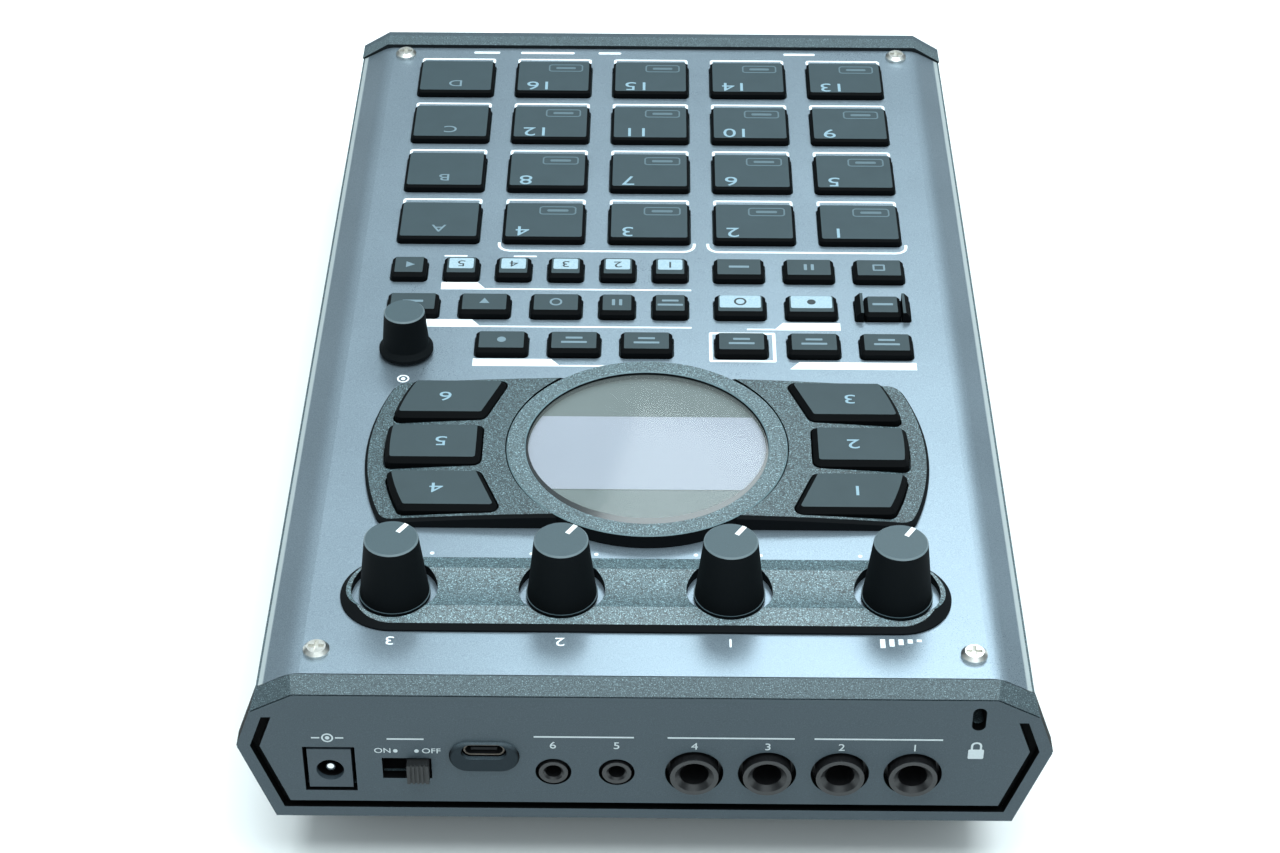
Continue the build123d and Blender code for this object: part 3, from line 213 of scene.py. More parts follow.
def texturedPlastic(name, look, scale, depth, roughness, shine):
    # moulded grain with painted glints on its peaks, a painted highlight on faces that turn partly up where a look
    # gives it strength, and upright walls painted dark as shade
    f = Finish(name)
    sand = f.grain(scale, 3.0, 0.6)
    fine = f.grain(scale * 2.1, 1.0)
    peak = f.spread(fine, 0.55, 0.72)
    turn = f.facing()
    # painted highlight on part-turned faces such as chamfers
    edge = (turn > 0.55) * (turn < 0.8) * look["edge"]
    body = f.mix(f.spread(sand, 0.36, 0.64), look["dark"], look["light"])
    grained = f.body(
        Base_Color=f.mix(edge, f.mix(peak * look["glint"], body, look["spark"]), look["spark"]),
        Roughness=roughness - 0.12 * peak,
        Specular_IOR_Level=shine,
        Normal=f.bump(0.6 * sand + 0.4 * fine, depth, 0.8),
    )
    return f.shadeWalls(f.spread(turn, 0.80, 0.965) + edge, grained, look["wallShade"])


def casePlastic():
    # coarse grain on the shell, finer on the two panels, with painted light and shade: faces that turn up painted
    # paler and with brighter painted glints, upright walls painted dark, and painted shade near black in the groove
    # round the panels and on the raised boss's sides, whose face keeps a dark grey of its own
    look = {
        "dark": (0.012, 0.017, 0.020),
        "light": (0.034, 0.048, 0.056),
        "strip": (0.075, 0.108, 0.122),
        "panel": (0.053, 0.075, 0.091),
        "side": (0.010, 0.013, 0.015),
        "boss": (0.020, 0.028, 0.034),
        "hollow": (0.0015, 0.0018, 0.002),
        "spark": (0.34, 0.48, 0.53),
        "panelTop": -8.0,
        "panelDepth": 0.05,
        "bossHeight": 0.1,
        "grooveDepth": 2.3,
    }
    f = Finish("case plastic")
    sand = f.grain(2100, 3.0, 0.6)
    fine = f.grain(4400, 1.0)
    peak = f.spread(fine, 0.57, 0.75)
    reach = abs(f.along("Y"))
    low = f.along("Z") < look["panelTop"] * mm
    panel = reach > (deck["halfLength"] - look["panelDepth"]) * mm
    boss = (reach > (deck["halfLength"] + look["bossHeight"]) * mm) * low
    bossFace = f.spread(abs(f.facing((0, 1, 0))), 0.5, 0.95)
    # painted shade: the groove round the panels is painted near black
    hollow = (reach > (deck["halfLength"] - look["grooveDepth"]) * mm) * (1 - panel) * low
    up = f.spread(f.facing(), 0.3, 0.85)
    body = f.mix(f.speckle(sand), look["dark"], look["light"])
    # painted light: faces that turn up are painted paler
    shell = f.mix(up * f.spread(sand, 0.1, 0.8), body, look["strip"])
    flat = f.mix(f.speckle(fine), scaled(look["panel"], 0.78), look["panel"])
    grained = f.body(
        Base_Color=f.mix(peak * (0.1 + 0.5 * up) * (1 - 0.8 * panel), f.mix(panel, shell, flat), look["spark"]),
        Roughness=0.5 + 0.12 * fine + 0.05 * panel,
        Specular_IOR_Level=0.35,
        Normal=f.bump((0.6 * sand + 0.4 * fine) * (1 - 0.7 * panel), 0.05, 0.7),
    )
    lit = f.spread(up + panel - boss - hollow, 0.0, 1.0)
    raised = f.mix(bossFace, look["hollow"], look["boss"])
    return f.shadeWalls(lit, grained, f.mix(hollow, f.mix(boss, look["side"], raised), look["hollow"]))


def softRubber(name, top, side, roughness):
    # painted light and shade: the flat tops are paler than the flanks, which are painted near black as shade
    f = Finish(name)
    fine = f.grain(3800, 2.0, 0.6)
    cloud = f.grain(140, 2.0)
    topBody = f.body(
        Base_Color=f.mix(f.spread(0.7 * fine + 0.3 * cloud, 0.35, 0.65), scaled(top, 0.84), top),
        Roughness=roughness + 0.14 * fine - 0.08 * cloud,
        Specular_IOR_Level=0.4,
        Normal=f.bump(fine, 0.018, 0.6),
    )
    return f.shadeWalls(f.spread(f.facing(), 0.78, 0.97), topBody, side)


def knobPlastic():
    # flanks painted near black as shade, a paler top and a painted highlight line round its top edge
    look = {
        "side": (0.004, 0.0055, 0.0065),
        "dark": (0.037, 0.061, 0.072),
        "top": (0.048, 0.079, 0.093),
        "edge": (0.115, 0.155, 0.172),
        "highlightFoot": 12.0,
    }
    f = Finish("knob plastic")
    fine = f.grain(5200, 2.0, 0.6)
    turn = f.facing()
    # painted highlight line on the part-turned faces round the top
    edge = (turn > 0.55) * (turn < 0.9) * (f.along("Z") > look["highlightFoot"] * mm)
    top = f.body(
        Base_Color=f.mix(edge, f.mix(f.speckle(fine), look["dark"], look["top"]), look["edge"]),
        Roughness=0.4 + 0.14 * fine,
        Specular_IOR_Level=0.5,
        Normal=f.bump(fine, 0.008, 0.5),
    )
    return f.shadeWalls(f.spread(turn, 0.85, 0.97) + edge, top, look["side"])


def portShell():
    # plated shell, bright at its mouth, and painted shade darkening it to near black deeper inside
    look = {
        "dark": (0.52, 0.44, 0.36),
        "light": (0.74, 0.64, 0.54),
        "inside": (0.012, 0.012, 0.013),
        "mouth": 0.35,
        "depth": 0.1,
    }
    f = Finish("port shell")
    marks = f.grain(1800, 3.0, 0.6)
    mouth = (deck["halfLength"] + look["mouth"]) * mm
    inside = f.spread(f.along("Y"), mouth, (deck["halfLength"] - look["depth"]) * mm)
    plated = f.mix(f.spread(marks, 0.35, 0.65), look["dark"], look["light"])
    return f.surface(
        Base_Color=f.mix(inside, plated, look["inside"]),
        Metallic=1 - inside,
        Roughness=0.3 + 0.12 * marks + 0.3 * inside,
        Specular_IOR_Level=0.2,
    )


def inletBlock():
    # moulded block with a bright metal centre pin; all of it deeper than its face is painted near black as shade
    look = {
        "u": 68.8,
        "w": -25.0,
        "pin": 0.75,
        "depth": 1.5,
        "face": (0.046, 0.065, 0.080),
        "inside": (0.002, 0.002, 0.0025),
        "bright": (0.66, 0.67, 0.68),
    }
    f = Finish("inlet block")
    fine = f.grain(3600, 1.0)
    across = f.along("X") - look["u"] * mm
    over = f.along("Z") - look["w"] * mm
    pin = (across * across + over * over) < (look["pin"] * mm) ** 2
    outer = f.along("Y") > (deck["halfLength"] - look["depth"]) * mm
    grained = f.mix(f.speckle(fine), scaled(look["face"], 0.8), look["face"])
    block = f.mix(outer, look["inside"], grained)
    return f.surface(
        Base_Color=f.mix(pin, block, look["bright"]),
        Metallic=pin,
        Roughness=0.5 + 0.1 * fine - 0.38 * pin,
        Specular_IOR_Level=0.35,
    )


def smoothPlastic(name, dark, light, roughness):
    f = Finish(name)
    fine = f.grain(2600, 2.0)
    return f.surface(
        Base_Color=f.mix(f.speckle(fine), dark, light),
        Roughness=roughness + 0.1 * fine,
        Specular_IOR_Level=0.5,
        Normal=f.bump(fine, 0.006, 0.5),
    )


def barMetal(name, dark, light, roughness):
    # turned or rolled metal with faint marks
    f = Finish(name)
    marks = f.grain(900, 4.0, 0.7)
    stain = f.grain(160, 2.0)
    return f.surface(
        Base_Color=f.mix(f.spread(0.6 * marks + 0.4 * stain, 0.35, 0.65), dark, light),
        Metallic=1.0,
        Roughness=roughness + 0.14 * marks,
        Normal=f.bump(marks, 0.006, 0.5),
    )


def printInk(name, shade, glow):
    f = Finish(name)
    wear = f.grain(2400, 3.0, 0.6)
    ink = f.mix(f.speckle(wear), scaled(shade, 0.9), shade)
    return f.surface(
        Base_Color=ink,
        Roughness=0.42 + 0.2 * wear,
        Emission_Color=ink,
        Emission_Strength=glow,
    )


def litFace():
    # a lamp behind a frosted key face
    f = Finish("lit key face")
    frost = f.grain(2600, 2.0)
    shade = f.mix(f.speckle(frost), (0.24, 0.34, 0.40), (0.32, 0.43, 0.49))
    return f.surface(
        Base_Color=shade,
        Roughness=0.45 + 0.15 * frost,
        Emission_Color=shade,
        Emission_Strength=0.12,
    )


def displayPanel():
    # a pale lit screen across a grey carrier with a dark border
    look = {
        "v": 58.0,
        "half": 13.7,
        "border": 29.5,
        "top": 1.3,
        "screen": (0.275, 0.300, 0.385),
        "carrier": (0.064, 0.093, 0.099),
        "dark": (0.012, 0.016, 0.018),
    }
    f = Finish("display panel")
    fine = f.grain(3200, 1.0)
    u = f.along("X")
    v = f.along("Y") - look["v"] * mm
    band = (abs(v) < look["half"] * mm) * (f.along("Z") > look["top"] * mm)
    border = (u * u + v * v) > (look["border"] * mm) ** 2
    wash = f.spread(v, -look["half"] * mm, look["half"] * mm)
    lit = f.mix(wash, scaled(look["screen"], 1.06), look["screen"])
    base = f.mix(f.speckle(fine), scaled(look["carrier"], 0.93), look["carrier"])
    shade = f.mix(border, f.mix(band, base, lit), look["dark"])
    glow = f.mix(band * (1 - border), (0.004, 0.005, 0.005), scaled(look["screen"], 0.35))
    return f.surface(Base_Color=shade, Roughness=0.5 + 0.1 * fine, Emission_Color=glow, Emission_Strength=1.0)


def clearWindow():
    # clear plastic with an opaque dark border, widest at the rear
    look = {"v": 56.7, "across": 28.1, "along": 27.1, "dark": (0.010, 0.014, 0.016)}
    f = Finish("window glass")
    smear = f.grain(60, 3.0)
    u = f.along("X") * (1 / (look["across"] * mm))
    v = (f.along("Y") - look["v"] * mm) * (1 / (look["along"] * mm))
    border = (u * u + v * v) > 1.0
    return f.surface(
        Base_Color=f.mix(border, f.mix(smear, (0.30, 0.34, 0.33), (0.36, 0.40, 0.39)), look["dark"]),
        Roughness=0.06 + 0.05 * smear,
        Specular_IOR_Level=0.6,
        Alpha=0.2 + 0.8 * border,
        Coat_Weight=0.6,
        Coat_Roughness=0.05,
    )


def boardLaminate():
    f = Finish("board laminate")
    weave = f.grain(1400, 2.0)
    return f.surface(
        Base_Color=f.mix(weave, (0.015, 0.085, 0.04), (0.025, 0.13, 0.06)), Roughness=0.4 + 0.15 * weave
    )


# the wall colour is painted shade for upright faces; spark and glint paint glints on the grain
trimLook = {
    "wallShade": (0.0045, 0.0055, 0.0065),
    "dark": (0.012, 0.022, 0.026),
    "light": (0.075, 0.128, 0.148),
    "spark": (0.46, 0.68, 0.75),
    "glint": 0.6,
    "edge": 0.0,
}
# the ring's edge value paints a highlight on its chamfers
ringLook = {**trimLook, "dark": (0.016, 0.028, 0.033), "light": (0.070, 0.116, 0.132), "edge": 0.5}
housingLook = {**trimLook, "dark": (0.008, 0.014, 0.017), "light": (0.046, 0.077, 0.088), "glint": 0.45}
finishes = {
    "plate_paint": paintedPlate(),
    "case_plastic": casePlastic(),
    "trim_plastic": texturedPlastic("trim plastic", trimLook, 1700, 0.06, 0.42, 0.75),
    "screw_steel": barMetal("screw steel", (0.58, 0.57, 0.53), (0.84, 0.83, 0.79), 0.24),
    "window_glass": clearWindow(),
    "display_panel": displayPanel(),
    "board_laminate": boardLaminate(),
    "socket_plastic": smoothPlastic("socket plastic", (0.006, 0.006, 0.007), (0.012, 0.012, 0.013), 0.3),
    "plated_steel": barMetal("plated steel", (0.40, 0.40, 0.40), (0.62, 0.62, 0.62), 0.24),
    "control_metal": barMetal("control metal", (0.42, 0.42, 0.43), (0.58, 0.58, 0.59), 0.32),
    "foot_rubber": smoothPlastic("foot rubber", (0.012, 0.012, 0.012), (0.024, 0.024, 0.024), 0.7),
    # each rubber's second colour is painted shade for its flanks
    "pad_rubber": softRubber("pad rubber", (0.031, 0.053, 0.063), (0.0015, 0.002, 0.0025), 0.58),
    "key_rubber": softRubber("key rubber", (0.030, 0.050, 0.058), (0.0015, 0.002, 0.0025), 0.55),
    "knob_plastic": knobPlastic(),
    "lever_plastic": smoothPlastic("lever plastic", (0.003, 0.0035, 0.004), (0.008, 0.009, 0.010), 0.5),
}
whiteInk = printInk("white print", (0.80, 0.85, 0.88), 0.05)
paleInk = printInk("pale legend", (0.15, 0.22, 0.26), 0.03)
labelInk = printInk("dim label", (0.085, 0.135, 0.160), 0.02)
padInk = printInk("pad legend", (0.22, 0.34, 0.41), 0.05)
panelInk = printInk("panel print", (0.50, 0.56, 0.58), 0.06)
litInk = printInk("lit face mark", (0.02, 0.03, 0.035), 0.0)
pointerInk = printInk("pointer paint", (0.80, 0.82, 0.82), 0.05)
litKeyFace = litFace()
ownFinish = {
    "usb_port": portShell(),
    "dc_jack": inletBlock(),
    "display_housing": texturedPlastic("housing plastic", housingLook, 1700, 0.06, 0.45, 0.6),
    "display_ring": texturedPlastic("ring plastic", ringLook, 1700, 0.06, 0.42, 0.75),
}

slotOf = {part["node"]: part["material_slot"] for part in frame["record"]["subparts"]}
for name, node in nodes.items():
    node.data.materials.clear()
    node.data.materials.append(ownFinish.get(name) or finishes[slotOf[name]])
print("finishes made for", len(finishes), "material slots")


class Drawing:
    # flat print drawn in millimetres, raised a hair and laid on a surface; its font is this much
    # larger than the height of its numbers
    fontSize = 1.43

    def __init__(self):
        self.mesh = bmesh.new()

    def bar(self, x, y, width, height, corner=0.0, slant=0.0):
        made = bmesh.ops.create_grid(self.mesh, x_segments=1, y_segments=1, size=0.5)["verts"]
        bmesh.ops.scale(self.mesh, vec=(width, height, 1), verts=made)
        if slant:
            # draws one lower corner in, towards the bar's far end
            low = [point for point in made if point.co.y < 0 and point.co.x * slant > 0]
            bmesh.ops.translate(self.mesh, vec=(-slant, 0, 0), verts=low)
        bmesh.ops.translate(self.mesh, vec=(x, y, 0), verts=made)
        faces = list({face for point in made for face in point.link_faces})
        if corner:
            rounded = bmesh.ops.bevel(
                self.mesh, geom=made, offset=corner, affect="VERTICES", segments=4, profile=0.5, material=-1
            )
            faces = list({face for point in rounded["verts"] for face in point.link_faces})
        return faces

    def border(self, x, y, width, height, corner, line):
        # a rounded outline: the bar's face is inset and its middle taken out
        middle = self.bar(x, y, width, height, corner)
        bmesh.ops.inset_region(self.mesh, faces=middle, thickness=line, use_even_offset=True, use_boundary=True)
        kept = {face for part in middle for edge in part.edges for face in edge.link_faces} - set(middle)
        bmesh.ops.delete(self.mesh, geom=middle, context="FACES")
        return list(kept)

    def cut(self, faces, y, above=True):
        # keeps what lies on one side of a line across the drawing
        parts = set(faces)
        for face in faces:
            parts.update(face.edges)
            parts.update(face.verts)
        bmesh.ops.bisect_plane(
            self.mesh,
            geom=list(parts),
            plane_co=(0, y, 0),
            plane_no=(0, 1, 0),
            clear_inner=above,
            clear_outer=not above,
        )

    def disc(self, x, y, radius, sides=20):
        spot = Matrix.Translation((x, y, 0))
        bmesh.ops.create_circle(self.mesh, cap_ends=True, segments=sides, radius=radius, matrix=spot)

    def ring(self, x, y, radius, line, sides=28):
        spot = Matrix.Translation((x, y, 0))
        made = bmesh.ops.create_circle(self.mesh, cap_ends=True, segments=sides, radius=radius, matrix=spot)["verts"]
        middle = list({face for point in made for face in point.link_faces})
        bmesh.ops.inset_region(self.mesh, faces=middle, thickness=line, use_even_offset=True, use_boundary=True)
        bmesh.ops.delete(self.mesh, geom=middle, context="FACES")

    def arrow(self, x, y, size, turn):
        spot = Matrix.Translation((x, y, 0)) @ Matrix.Rotation(turn, 4, "Z")
        bmesh.ops.create_circle(self.mesh, cap_ends=True, segments=3, radius=size, matrix=spot)

    def digits(self, text, x, y, height, stretch=1.0, align="CENTER"):
        curve = bpy.data.curves.new("digits", "FONT")
        curve.body = text
        curve.size = height * self.fontSize
        curve.align_x = align
        curve.align_y = "CENTER"
        holder = bpy.data.objects.new("digits", curve)
        flat = bpy.data.meshes.new_from_object(holder)
        flat.transform(Matrix.Translation((x, y, 0)) @ Matrix.Diagonal((stretch, 1, 1, 1)))
        self.mesh.from_mesh(flat)
        bpy.data.objects.remove(holder)
        bpy.data.curves.remove(curve)
        bpy.data.meshes.remove(flat)

    def pointer(self, marks):
        # a line down from the middle of a knob
        middle = -(marks["inner"] + marks["outer"]) / 2
        self.bar(0, middle, marks["width"], marks["outer"] - marks["inner"])

    def wedge(self, x, y, rise, width, low, growth):
        # five bars that grow in height from left to right, two millimetres apart
        for step in range(5):
            self.bar(x - 4 + step * 2, y + rise * step, width, low + growth * step)

    def lay(self, name, place, finish, body, lift=0.035, sink=0.02):
        bmesh.ops.triangulate(self.mesh, faces=[face for face in self.mesh.faces if len(face.verts) > 4])
        bmesh.ops.translate(self.mesh, vec=(0, 0, -sink), verts=self.mesh.verts)
        raised = bmesh.ops.extrude_face_region(self.mesh, geom=list(self.mesh.faces), use_keep_orig=True)["geom"]
        tops = [part for part in raised if isinstance(part, bmesh.types.BMVert)]
        bmesh.ops.translate(self.mesh, vec=(0, 0, sink + lift), verts=tops)
        bmesh.ops.scale(self.mesh, vec=(mm, mm, mm), verts=self.mesh.verts)
        bmesh.ops.transform(self.mesh, matrix=place, verts=self.mesh.verts)
        bmesh.ops.recalc_face_normals(self.mesh, faces=self.mesh.faces)
        shape = bpy.data.meshes.new(name)
        self.mesh.to_mesh(shape)
        self.mesh.free()
        shape.materials.append(finish)
        piece = bpy.data.objects.new(name, shape)
        scene.collection.objects.link(piece)
        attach(piece, body)


# white print on the face plate
padGrid = {"pitchU": 27.65, "pitchV": 24.57, "firstV": -39.45, "columns": 5, "rows": 4}
padUs = [(i - 2) * padGrid["pitchU"] for i in range(padGrid["columns"])]
padVs = [padGrid["firstV"] - i * padGrid["pitchV"] for i in range(padGrid["rows"])]
keyRows = [14.5, -1.7, -17.9]
knobUs = [(i - 1.5) * 37.1 for i in range(4)]
platePrint = {
    "line": 0.75,
    "bracket": {"width": 21.2, "below": 12.8, "depth": 2.3, "frame": 6, "corner": 0.9},
    "spans": [(-67.6, -15.0), (-12.2, 39.6)],
    "spanFrame": {"v": -37.4, "height": 20, "corner": 3.2, "foot": -31.6},
    "tabSlant": 2.4,
    "tabLine": 0.6,
    "tabs": [
        # left end, right end, v, height, the end that the thin line leaves from, thin line's far end
        (-66.3, -35.0, 21.5, 3.0, 1, None),
        (21.5, 43.3, 21.0, 3.0, -1, 9.5),
        (-48.3, -31.5, 5.1, 3.2, 1, -25.0),
        (42.0, 56.0, 4.6, 3.2, -1, -10.7),
        (41.5, 53.2, -11.7, 3.2, -1, -10.7),
    ],
    "keyBorder": {"u": -23.5, "v": 14.0, "width": 16.6, "height": 12.4, "corner": 0.5, "line": 0.8},
    "ticks": {"places": [(32.2, -25.2), (50.2, -25.2)], "width": 6.0, "height": 0.6, "corner": 0.2},
    "dots": {"v": 93.3, "apart": 7.3, "radius": 0.5},
    "knobNumbers": {"v": 122.4, "height": 2.6, "stretch": 1.3},
    "wedge": {"y": 121.3, "rise": 0.25, "width": 1.1, "low": 0.8, "growth": 0.5},
    "frontLabels": [(47.5, 7.5), (29.9, 15.5), (11.9, 6.5), (-43.0, 9.0)],
    "labelBar": {"v": -129.4, "height": 1.1, "corner": 0.3},
    "pushSign": {"u": 59.9, "v": 28.0, "radius": 1.5, "line": 0.4, "dot": 0.55},
}
art = Drawing()
part = platePrint["bracket"]
for u in padUs:
    for v in padVs:
        foot = v - part["below"]
        middle = foot + part["frame"] / 2
        outline = art.border(u, middle, part["width"], part["frame"], part["corner"], platePrint["line"])
        art.cut(outline, foot + part["depth"], above=False)
part = platePrint["spanFrame"]
for low, high in platePrint["spans"]:
    middle = (low + high) / 2
    outline = art.border(middle, part["v"], high - low, part["height"], part["corner"], platePrint["line"])
    art.cut(outline, part["foot"], above=True)
for low, high, v, height, side, farEnd in platePrint["tabs"]:
    art.bar((low + high) / 2, v, high - low, height, slant=side * platePrint["tabSlant"])
    if farEnd is not None:
        # the thin line runs a little under the tab
        end = high if side > 0 else low
        line = platePrint["tabLine"]
        art.bar((end + farEnd) / 2, v + height / 2 - line / 2, abs(end - farEnd) + 0.4, line)
part = platePrint["keyBorder"]
art.border(part["u"], part["v"], part["width"], part["height"], part["corner"], part["line"])
part = platePrint["ticks"]
for u, v in part["places"]:
    art.bar(u, v, part["width"], part["height"], part["corner"])
part = platePrint["dots"]
for u in knobUs:
    for side in (-1, 1):
        art.disc(u + side * part["apart"], part["v"], part["radius"])
part = platePrint["knobNumbers"]
for number, u in enumerate(reversed(knobUs[1:])):
    art.digits(str(3 - number), u, part["v"], part["height"], part["stretch"])
art.wedge(knobUs[0], **platePrint["wedge"])
part = platePrint["labelBar"]
for u, width in platePrint["frontLabels"]:
    art.bar(u, part["v"], width, part["height"], part["corner"])
part = platePrint["pushSign"]
art.ring(part["u"], part["v"], part["radius"], part["line"])
art.disc(part["u"], part["v"], part["dot"])
art.lay("platePrint", onDeck(0), whiteInk, "case")
print("plate print laid")

# pads: a number at the upper right and a blank label at the lower left, and letters on the side pads
padMarks = {"top": 2.0, "height": 4.3, "stretch": 1.25, "right": 7.6, "rise": 5.1}
letterMarks = {"height": 3.2, "rise": 4.2}
padLabel = {
    "u": 3.4,
    "v": 4.4,
    "border": {"width": 9.8, "height": 3.9, "corner": 1.0, "line": 0.4},
    "bar": {"width": 5.6, "height": 1.1, "corner": 0.4},
}
for row, v in enumerate(padVs):
    for column, u in enumerate(padUs):
        art = Drawing()
        if column == 4:
            name = f"side_pad_{row + 1}"
            art.digits("ABCD"[row], u, v + letterMarks["rise"], letterMarks["height"], padMarks["stretch"])
            art.lay(f"sidePadMark{row + 1}", onDeck(padMarks["top"]), paleInk, name)
            continue
        number = row * 4 + column + 1
        name = f"pad_{number:02d}"
        right, rise = u + padMarks["right"], v + padMarks["rise"]
        art.digits(str(number), right, rise, padMarks["height"], padMarks["stretch"], "RIGHT")
        art.lay(f"padNumber{number:02d}", onDeck(padMarks["top"]), padInk, name)
        label = Drawing()
        label.border(u - padLabel["u"], v - padLabel["v"], **padLabel["border"])
        label.bar(u - padLabel["u"], v - padLabel["v"], **padLabel["bar"])
        label.lay(f"padLabel{number:02d}", onDeck(padMarks["top"]), labelInk, name)
print("pad marks laid")

# small keys: plain signs on the dark ones, frosted lit faces on seven of them
blockUs = [-59.2 + 18.0 * i for i in range(3)]
editUs = [0.4 + 18.0 * i for i in range(3)]
smallUs = [-5.5 + 13.45 * i for i in range(6)]
modeUs = [23.4 + 18.1 * i for i in range(3)]
keyMarks = {
    "top": 2.3,
    "litSizes": {"wide": (10.4, 5.2), "small": (6.3, 4.6)},
    "litCorner": 0.5,
    "litShift": -0.7,
    "litLift": 0.06,
    "number": 2.6,
    "stretch": 1.3,
}
signBars = {
    # across, up, width, height
    "bars": [(0, 0.9, 6.4, 0.8), (0, -0.9, 4.2, 0.8)],
    "bar": [(0, 0, 5.2, 0.9)],
    "pair": [(-0.9, 0, 0.8, 2.6), (0.9, 0, 0.8, 2.6)],
}
signTurns = {"left": math.pi, "up": math.pi / 2}
signSizes = {
    "barCorner": 0.2,
    "arrow": 1.5,
    "dot": 1.1,
    "ring": {"radius": 1.6, "line": 0.5},
    "square": {"width": 3.2, "height": 2.8, "corner": 0.3, "line": 0.5},
}


def sign(art, kind, u, v):
    for across, up, width, height in signBars.get(kind, []):
        art.bar(u + across, v + up, width, height, signSizes["barCorner"])
    if kind in signTurns:
        art.arrow(u, v, signSizes["arrow"], signTurns[kind])
    elif kind == "dot":
        art.disc(u, v, signSizes["dot"])
    elif kind == "ring":
        art.ring(u, v, **signSizes["ring"])
    elif kind == "square":
        art.border(u, v, **signSizes["square"])


def signRow(us, v, kinds):
    return [(u, v, kind) for u, kind in zip(us, kinds)]


matSigns = {
    "sequence_keys": [
        *signRow(blockUs, keyRows[0], ["bars", "bars", "bars"]),
        *signRow(blockUs, keyRows[1], ["bar"]),
        *signRow(blockUs, keyRows[2], ["square", "pair", "bar"]),
    ],
    "edit_keys": signRow(editUs, keyRows[0], ["bars", "bars", "dot"]),
    "mode_keys": [
        *signRow(smallUs, keyRows[1], ["bars", "pair"]),
        *signRow(modeUs, keyRows[1], ["ring", "left", "bar"]),
    ],
    "bank_keys": [(smallUs[5], keyRows[2], "up")],
}
matLit = {
    "sequence_keys": [(blockUs[1], keyRows[1], "wide"), (blockUs[2], keyRows[1], "wide")],
    "bank_keys": [(u, keyRows[2], "small") for u in smallUs[:5]],
}
for mat, signs in matSigns.items():
    art = Drawing()
    for u, v, kind in signs:
        sign(art, kind, u, v)
    art.lay(mat + "Signs", onDeck(keyMarks["top"]), paleInk, mat)
for mat, lit in matLit.items():
    faceArt = Drawing()
    markArt = Drawing()
    for index, (u, v, size) in enumerate(lit):
        width, height = keyMarks["litSizes"][size]
        middle = v + keyMarks["litShift"]
        faceArt.bar(u, middle, width, height, keyMarks["litCorner"])
        if size == "small":
            markArt.digits(str(index + 1), u, middle, keyMarks["number"], keyMarks["stretch"])
        else:
            sign(markArt, ["dot", "ring"][index], u, middle)
    faceArt.lay(mat + "LitFaces", onDeck(keyMarks["top"]), litKeyFace, mat)
    markArt.lay(mat + "LitMarks", onDeck(keyMarks["top"]), litInk, mat, keyMarks["litLift"])
print("key signs laid")

# effect keys: plain numbers
effectMarks = {"top": 4.6, "v": 58.0, "pitch": 17.3, "u": 48.5, "height": 3.4, "stretch": 1.4}
effectSpots = [(side, row) for side in (-1, 1) for row in (1, 0, -1)]
for index, (side, row) in enumerate(effectSpots):
    art = Drawing()
    u, v = side * effectMarks["u"], effectMarks["v"] + row * effectMarks["pitch"]
    art.digits(str(index + 1), u, v, effectMarks["height"], effectMarks["stretch"])
    art.lay(f"effectNumber{index + 1}", onDeck(effectMarks["top"]), padInk, f"effect_key_{index + 1}")
print("effect keys numbered")

# control knobs: a white pointer on the top
knobMarks = {"top": 16.5, "v": 107.5, "inner": 2.35, "outer": 5.65, "width": 1.1}
spin = Matrix.Rotation(math.radians(-33), 4, "Z")
for index, u in enumerate(knobUs):
    place = deckTurn @ Matrix.Translation((u * mm, knobMarks["v"] * mm, knobMarks["top"] * mm)) @ spin
    art = Drawing()
    art.pointer(knobMarks)
    art.lay(f"knobPointer{index + 1}", place, pointerInk, f"control_knob_{index + 1}")

# gain knob: a shorter pointer on the face that shows in the front panel's well
gainMarks = {"u": 10.5, "w": -25.0, "inner": 1.5, "outer": 4.1, "width": 0.9}
spot = Matrix.Translation((gainMarks["u"] * mm, gainMarks["w"] * mm, 0))
art = Drawing()
art.pointer(gainMarks)
art.lay("gainPointer", onFront() @ spot @ spin, pointerInk, "gain_knob")
print("knobs marked")

# rear panel print, seen from behind: rules over the sockets, switch words, a padlock and plain numbers
rearPrint = {
    "rules": [(36.8, 64.6), (5.0, 32.5), (-24.0, -2.3)],
    "ruleHeight": -14.4,
    "line": 0.4,
    "numbers": [(58.7, "1"), (42.8, "2"), (26.8, "3"), (10.9, "4"), (-6.05, "5"), (-19.9, "6")],
    "numberHeight": -17.0,
    "numberSize": {"height": 2.0, "stretch": 1.1},
    "switch": {"y": -19.0, "words": [(-57.0, "ON"), (-46.4, "OFF")], "dots": [-54.2, -49.6], "dot": 0.5},
    "switchWord": {"height": 1.45, "stretch": 1.15},
    "switchRule": {"x": -51.9, "y": -15.4, "width": 8.0},
    "lockBody": {"x": 72.0, "y": -18.6, "width": 3.4, "height": 2.8, "corner": 0.3},
    "shackle": {"x": 72.0, "y": -16.6, "width": 2.4, "height": 3.2, "corner": 1.1, "line": 0.45},
    "shackleFoot": -17.2,
    "inlet": {"x": -68.8, "y": -15.2, "ring": 1.3, "dot": 0.5, "line": 0.35, "dash": 1.8, "dashes": [-71.4, -66.2]},
}
art = Drawing()
for low, high in rearPrint["rules"]:
    art.bar((low + high) / 2, rearPrint["ruleHeight"], high - low, rearPrint["line"])
for x, text in rearPrint["numbers"]:
    art.digits(text, x, rearPrint["numberHeight"], **rearPrint["numberSize"])
part = rearPrint["switch"]
for x, text in part["words"]:
    art.digits(text, x, part["y"], **rearPrint["switchWord"])
for x in part["dots"]:
    art.disc(x, part["y"], part["dot"])
art.bar(**rearPrint["switchRule"], height=rearPrint["line"])
# padlock: a body and a shackle
art.bar(**rearPrint["lockBody"])
shackle = art.border(**rearPrint["shackle"])
art.cut(shackle, rearPrint["shackleFoot"], above=True)
# inlet polarity: a dot inside a ring between two dashes
part = rearPrint["inlet"]
art.ring(part["x"], part["y"], part["ring"], part["line"])
art.disc(part["x"], part["y"], part["dot"])
for x in part["dashes"]:
    art.bar(x, part["y"], part["dash"], part["line"])
art.lay("rearPrint", onRear(), panelInk, "case")

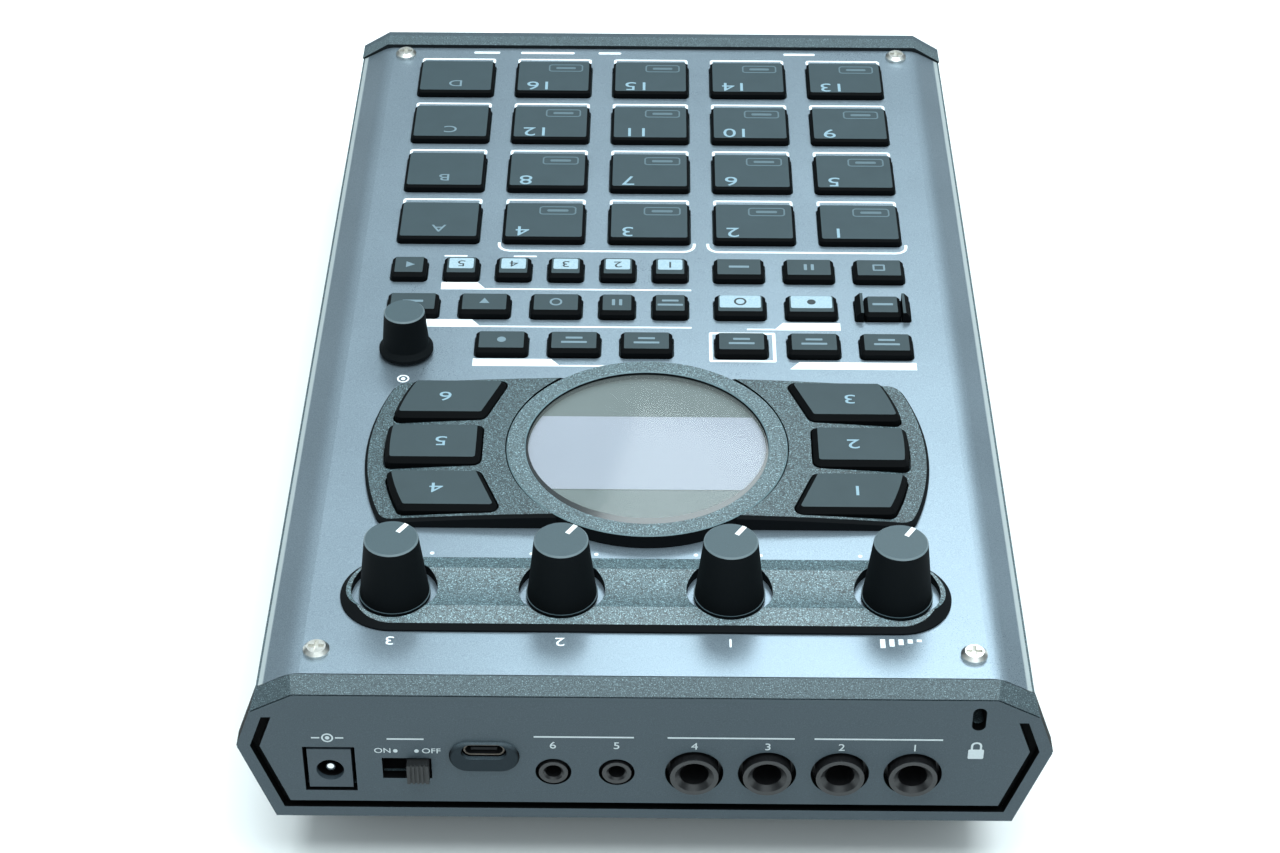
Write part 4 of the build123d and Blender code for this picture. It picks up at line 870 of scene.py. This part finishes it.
# front panel: numbers over the sockets and a level wedge by the gain knob
frontPrint = {
    "numbers": [(-46.0, "1"), (-32.0, "2"), (47.5, "3")],
    "height": -16.4,
    "wedge": {"y": -14.6, "rise": 0.2, "width": 1.0, "low": 0.6, "growth": 0.4},
    "switchRule": {"x": 30.0, "width": 6.0},
}
art = Drawing()
for x, text in frontPrint["numbers"]:
    art.digits(text, x, frontPrint["height"], **rearPrint["numberSize"])
art.wedge(gainMarks["u"], **frontPrint["wedge"])
art.bar(**frontPrint["switchRule"], y=frontPrint["height"], height=rearPrint["line"])
art.lay("frontPrint", onFront(), panelInk, "case")
print("panel print laid")

# stage: a pale floor, wide soft lights above and a sky that dims towards the horizon
stage = {
    "floor": 6.0,
    "floorDrop": 0.0002,
    "paper": [(0.90, 0.91, 0.91), (0.91, 0.92, 0.92)],
    "tint": (0.86, 0.97, 1.0),
    "sky": [
        # height, colour
        (0.0, (0.09, 0.105, 0.11)),
        (0.28, (0.12, 0.14, 0.145)),
        (0.45, (0.36, 0.42, 0.44)),
        (0.7, (0.60, 0.70, 0.73)),
        (1.0, (0.72, 0.83, 0.85)),
    ],
}
floorMesh = bmesh.new()
bmesh.ops.create_grid(floorMesh, x_segments=1, y_segments=1, size=stage["floor"])
floorShape = bpy.data.meshes.new("floor")
floorMesh.to_mesh(floorShape)
floorMesh.free()
floor = bpy.data.objects.new("floor", floorShape)
floor.location.z = -stage["floorDrop"]
scene.collection.objects.link(floor)
f = Finish("pale floor")
paper = f.grain(30, 2.0)
floorShape.materials.append(
    f.surface(Base_Color=f.mix(paper, *stage["paper"]), Roughness=0.9, Specular_IOR_Level=0.1)
)
scene.world = bpy.data.worlds.new("studio")
f = Finish("studio", scene.world)
way = f.node("ShaderNodeTexCoord", out="Generated")
rise = f.node("ShaderNodeSeparateXYZ", None, {0: way}, out="Z")
sky = f.node("ShaderNodeValToRGB", {"stops": stage["sky"]}, {0: rise})
f.node("ShaderNodeOutputWorld", None, {"Surface": f.node("ShaderNodeBackground", None, {"Color": sky})})


def softbox(name, place, target, size, power):
    lamp = bpy.data.lights.new(name, "AREA")
    lamp.shape = "RECTANGLE"
    lamp.size, lamp.size_y = size
    lamp.energy = power
    lamp.color = stage["tint"]
    holder = bpy.data.objects.new(name, lamp)
    holder.location = place
    holder.rotation_euler = (Vector(target) - Vector(place)).to_track_quat("-Z", "Y").to_euler()
    scene.collection.objects.link(holder)


softbox("overheadLight", (-0.1, 0.10, 1.25), (-0.1, 0.101, 0.0), (1.3, 1.1), 23.0)
softbox("frontLight", (-0.43, -0.85, 1.1), (0, 0, 0.05), (1.15, 0.45), 6.5)
softbox("rearLight", (-0.15, 1.2, 1.0), (0, 0.05, 0.04), (1.2, 0.5), 3.0)

# camera at the photograph's place
shot = {
    "place": (-0.000978, 0.537848, 0.478725),
    "target": (0.001702, 0.055391, 0.059001),
    "roll": math.radians(0.2276),
    "lens": 76.61,
    "sensor": 36.0,
    "near": 0.01,
}
eye = bpy.data.cameras.new("camera")
eye.sensor_width = shot["sensor"]
eye.lens = shot["lens"]
eye.clip_start = shot["near"]
camera = bpy.data.objects.new("camera", eye)
gaze = (Vector(shot["target"]) - Vector(shot["place"])).to_track_quat("-Z", "Y").to_matrix().to_4x4()
camera.matrix_world = Matrix.Translation(shot["place"]) @ gaze @ Matrix.Rotation(shot["roll"], 4, "Z")
scene.collection.objects.link(camera)
scene.camera = camera
print("stage and camera set")
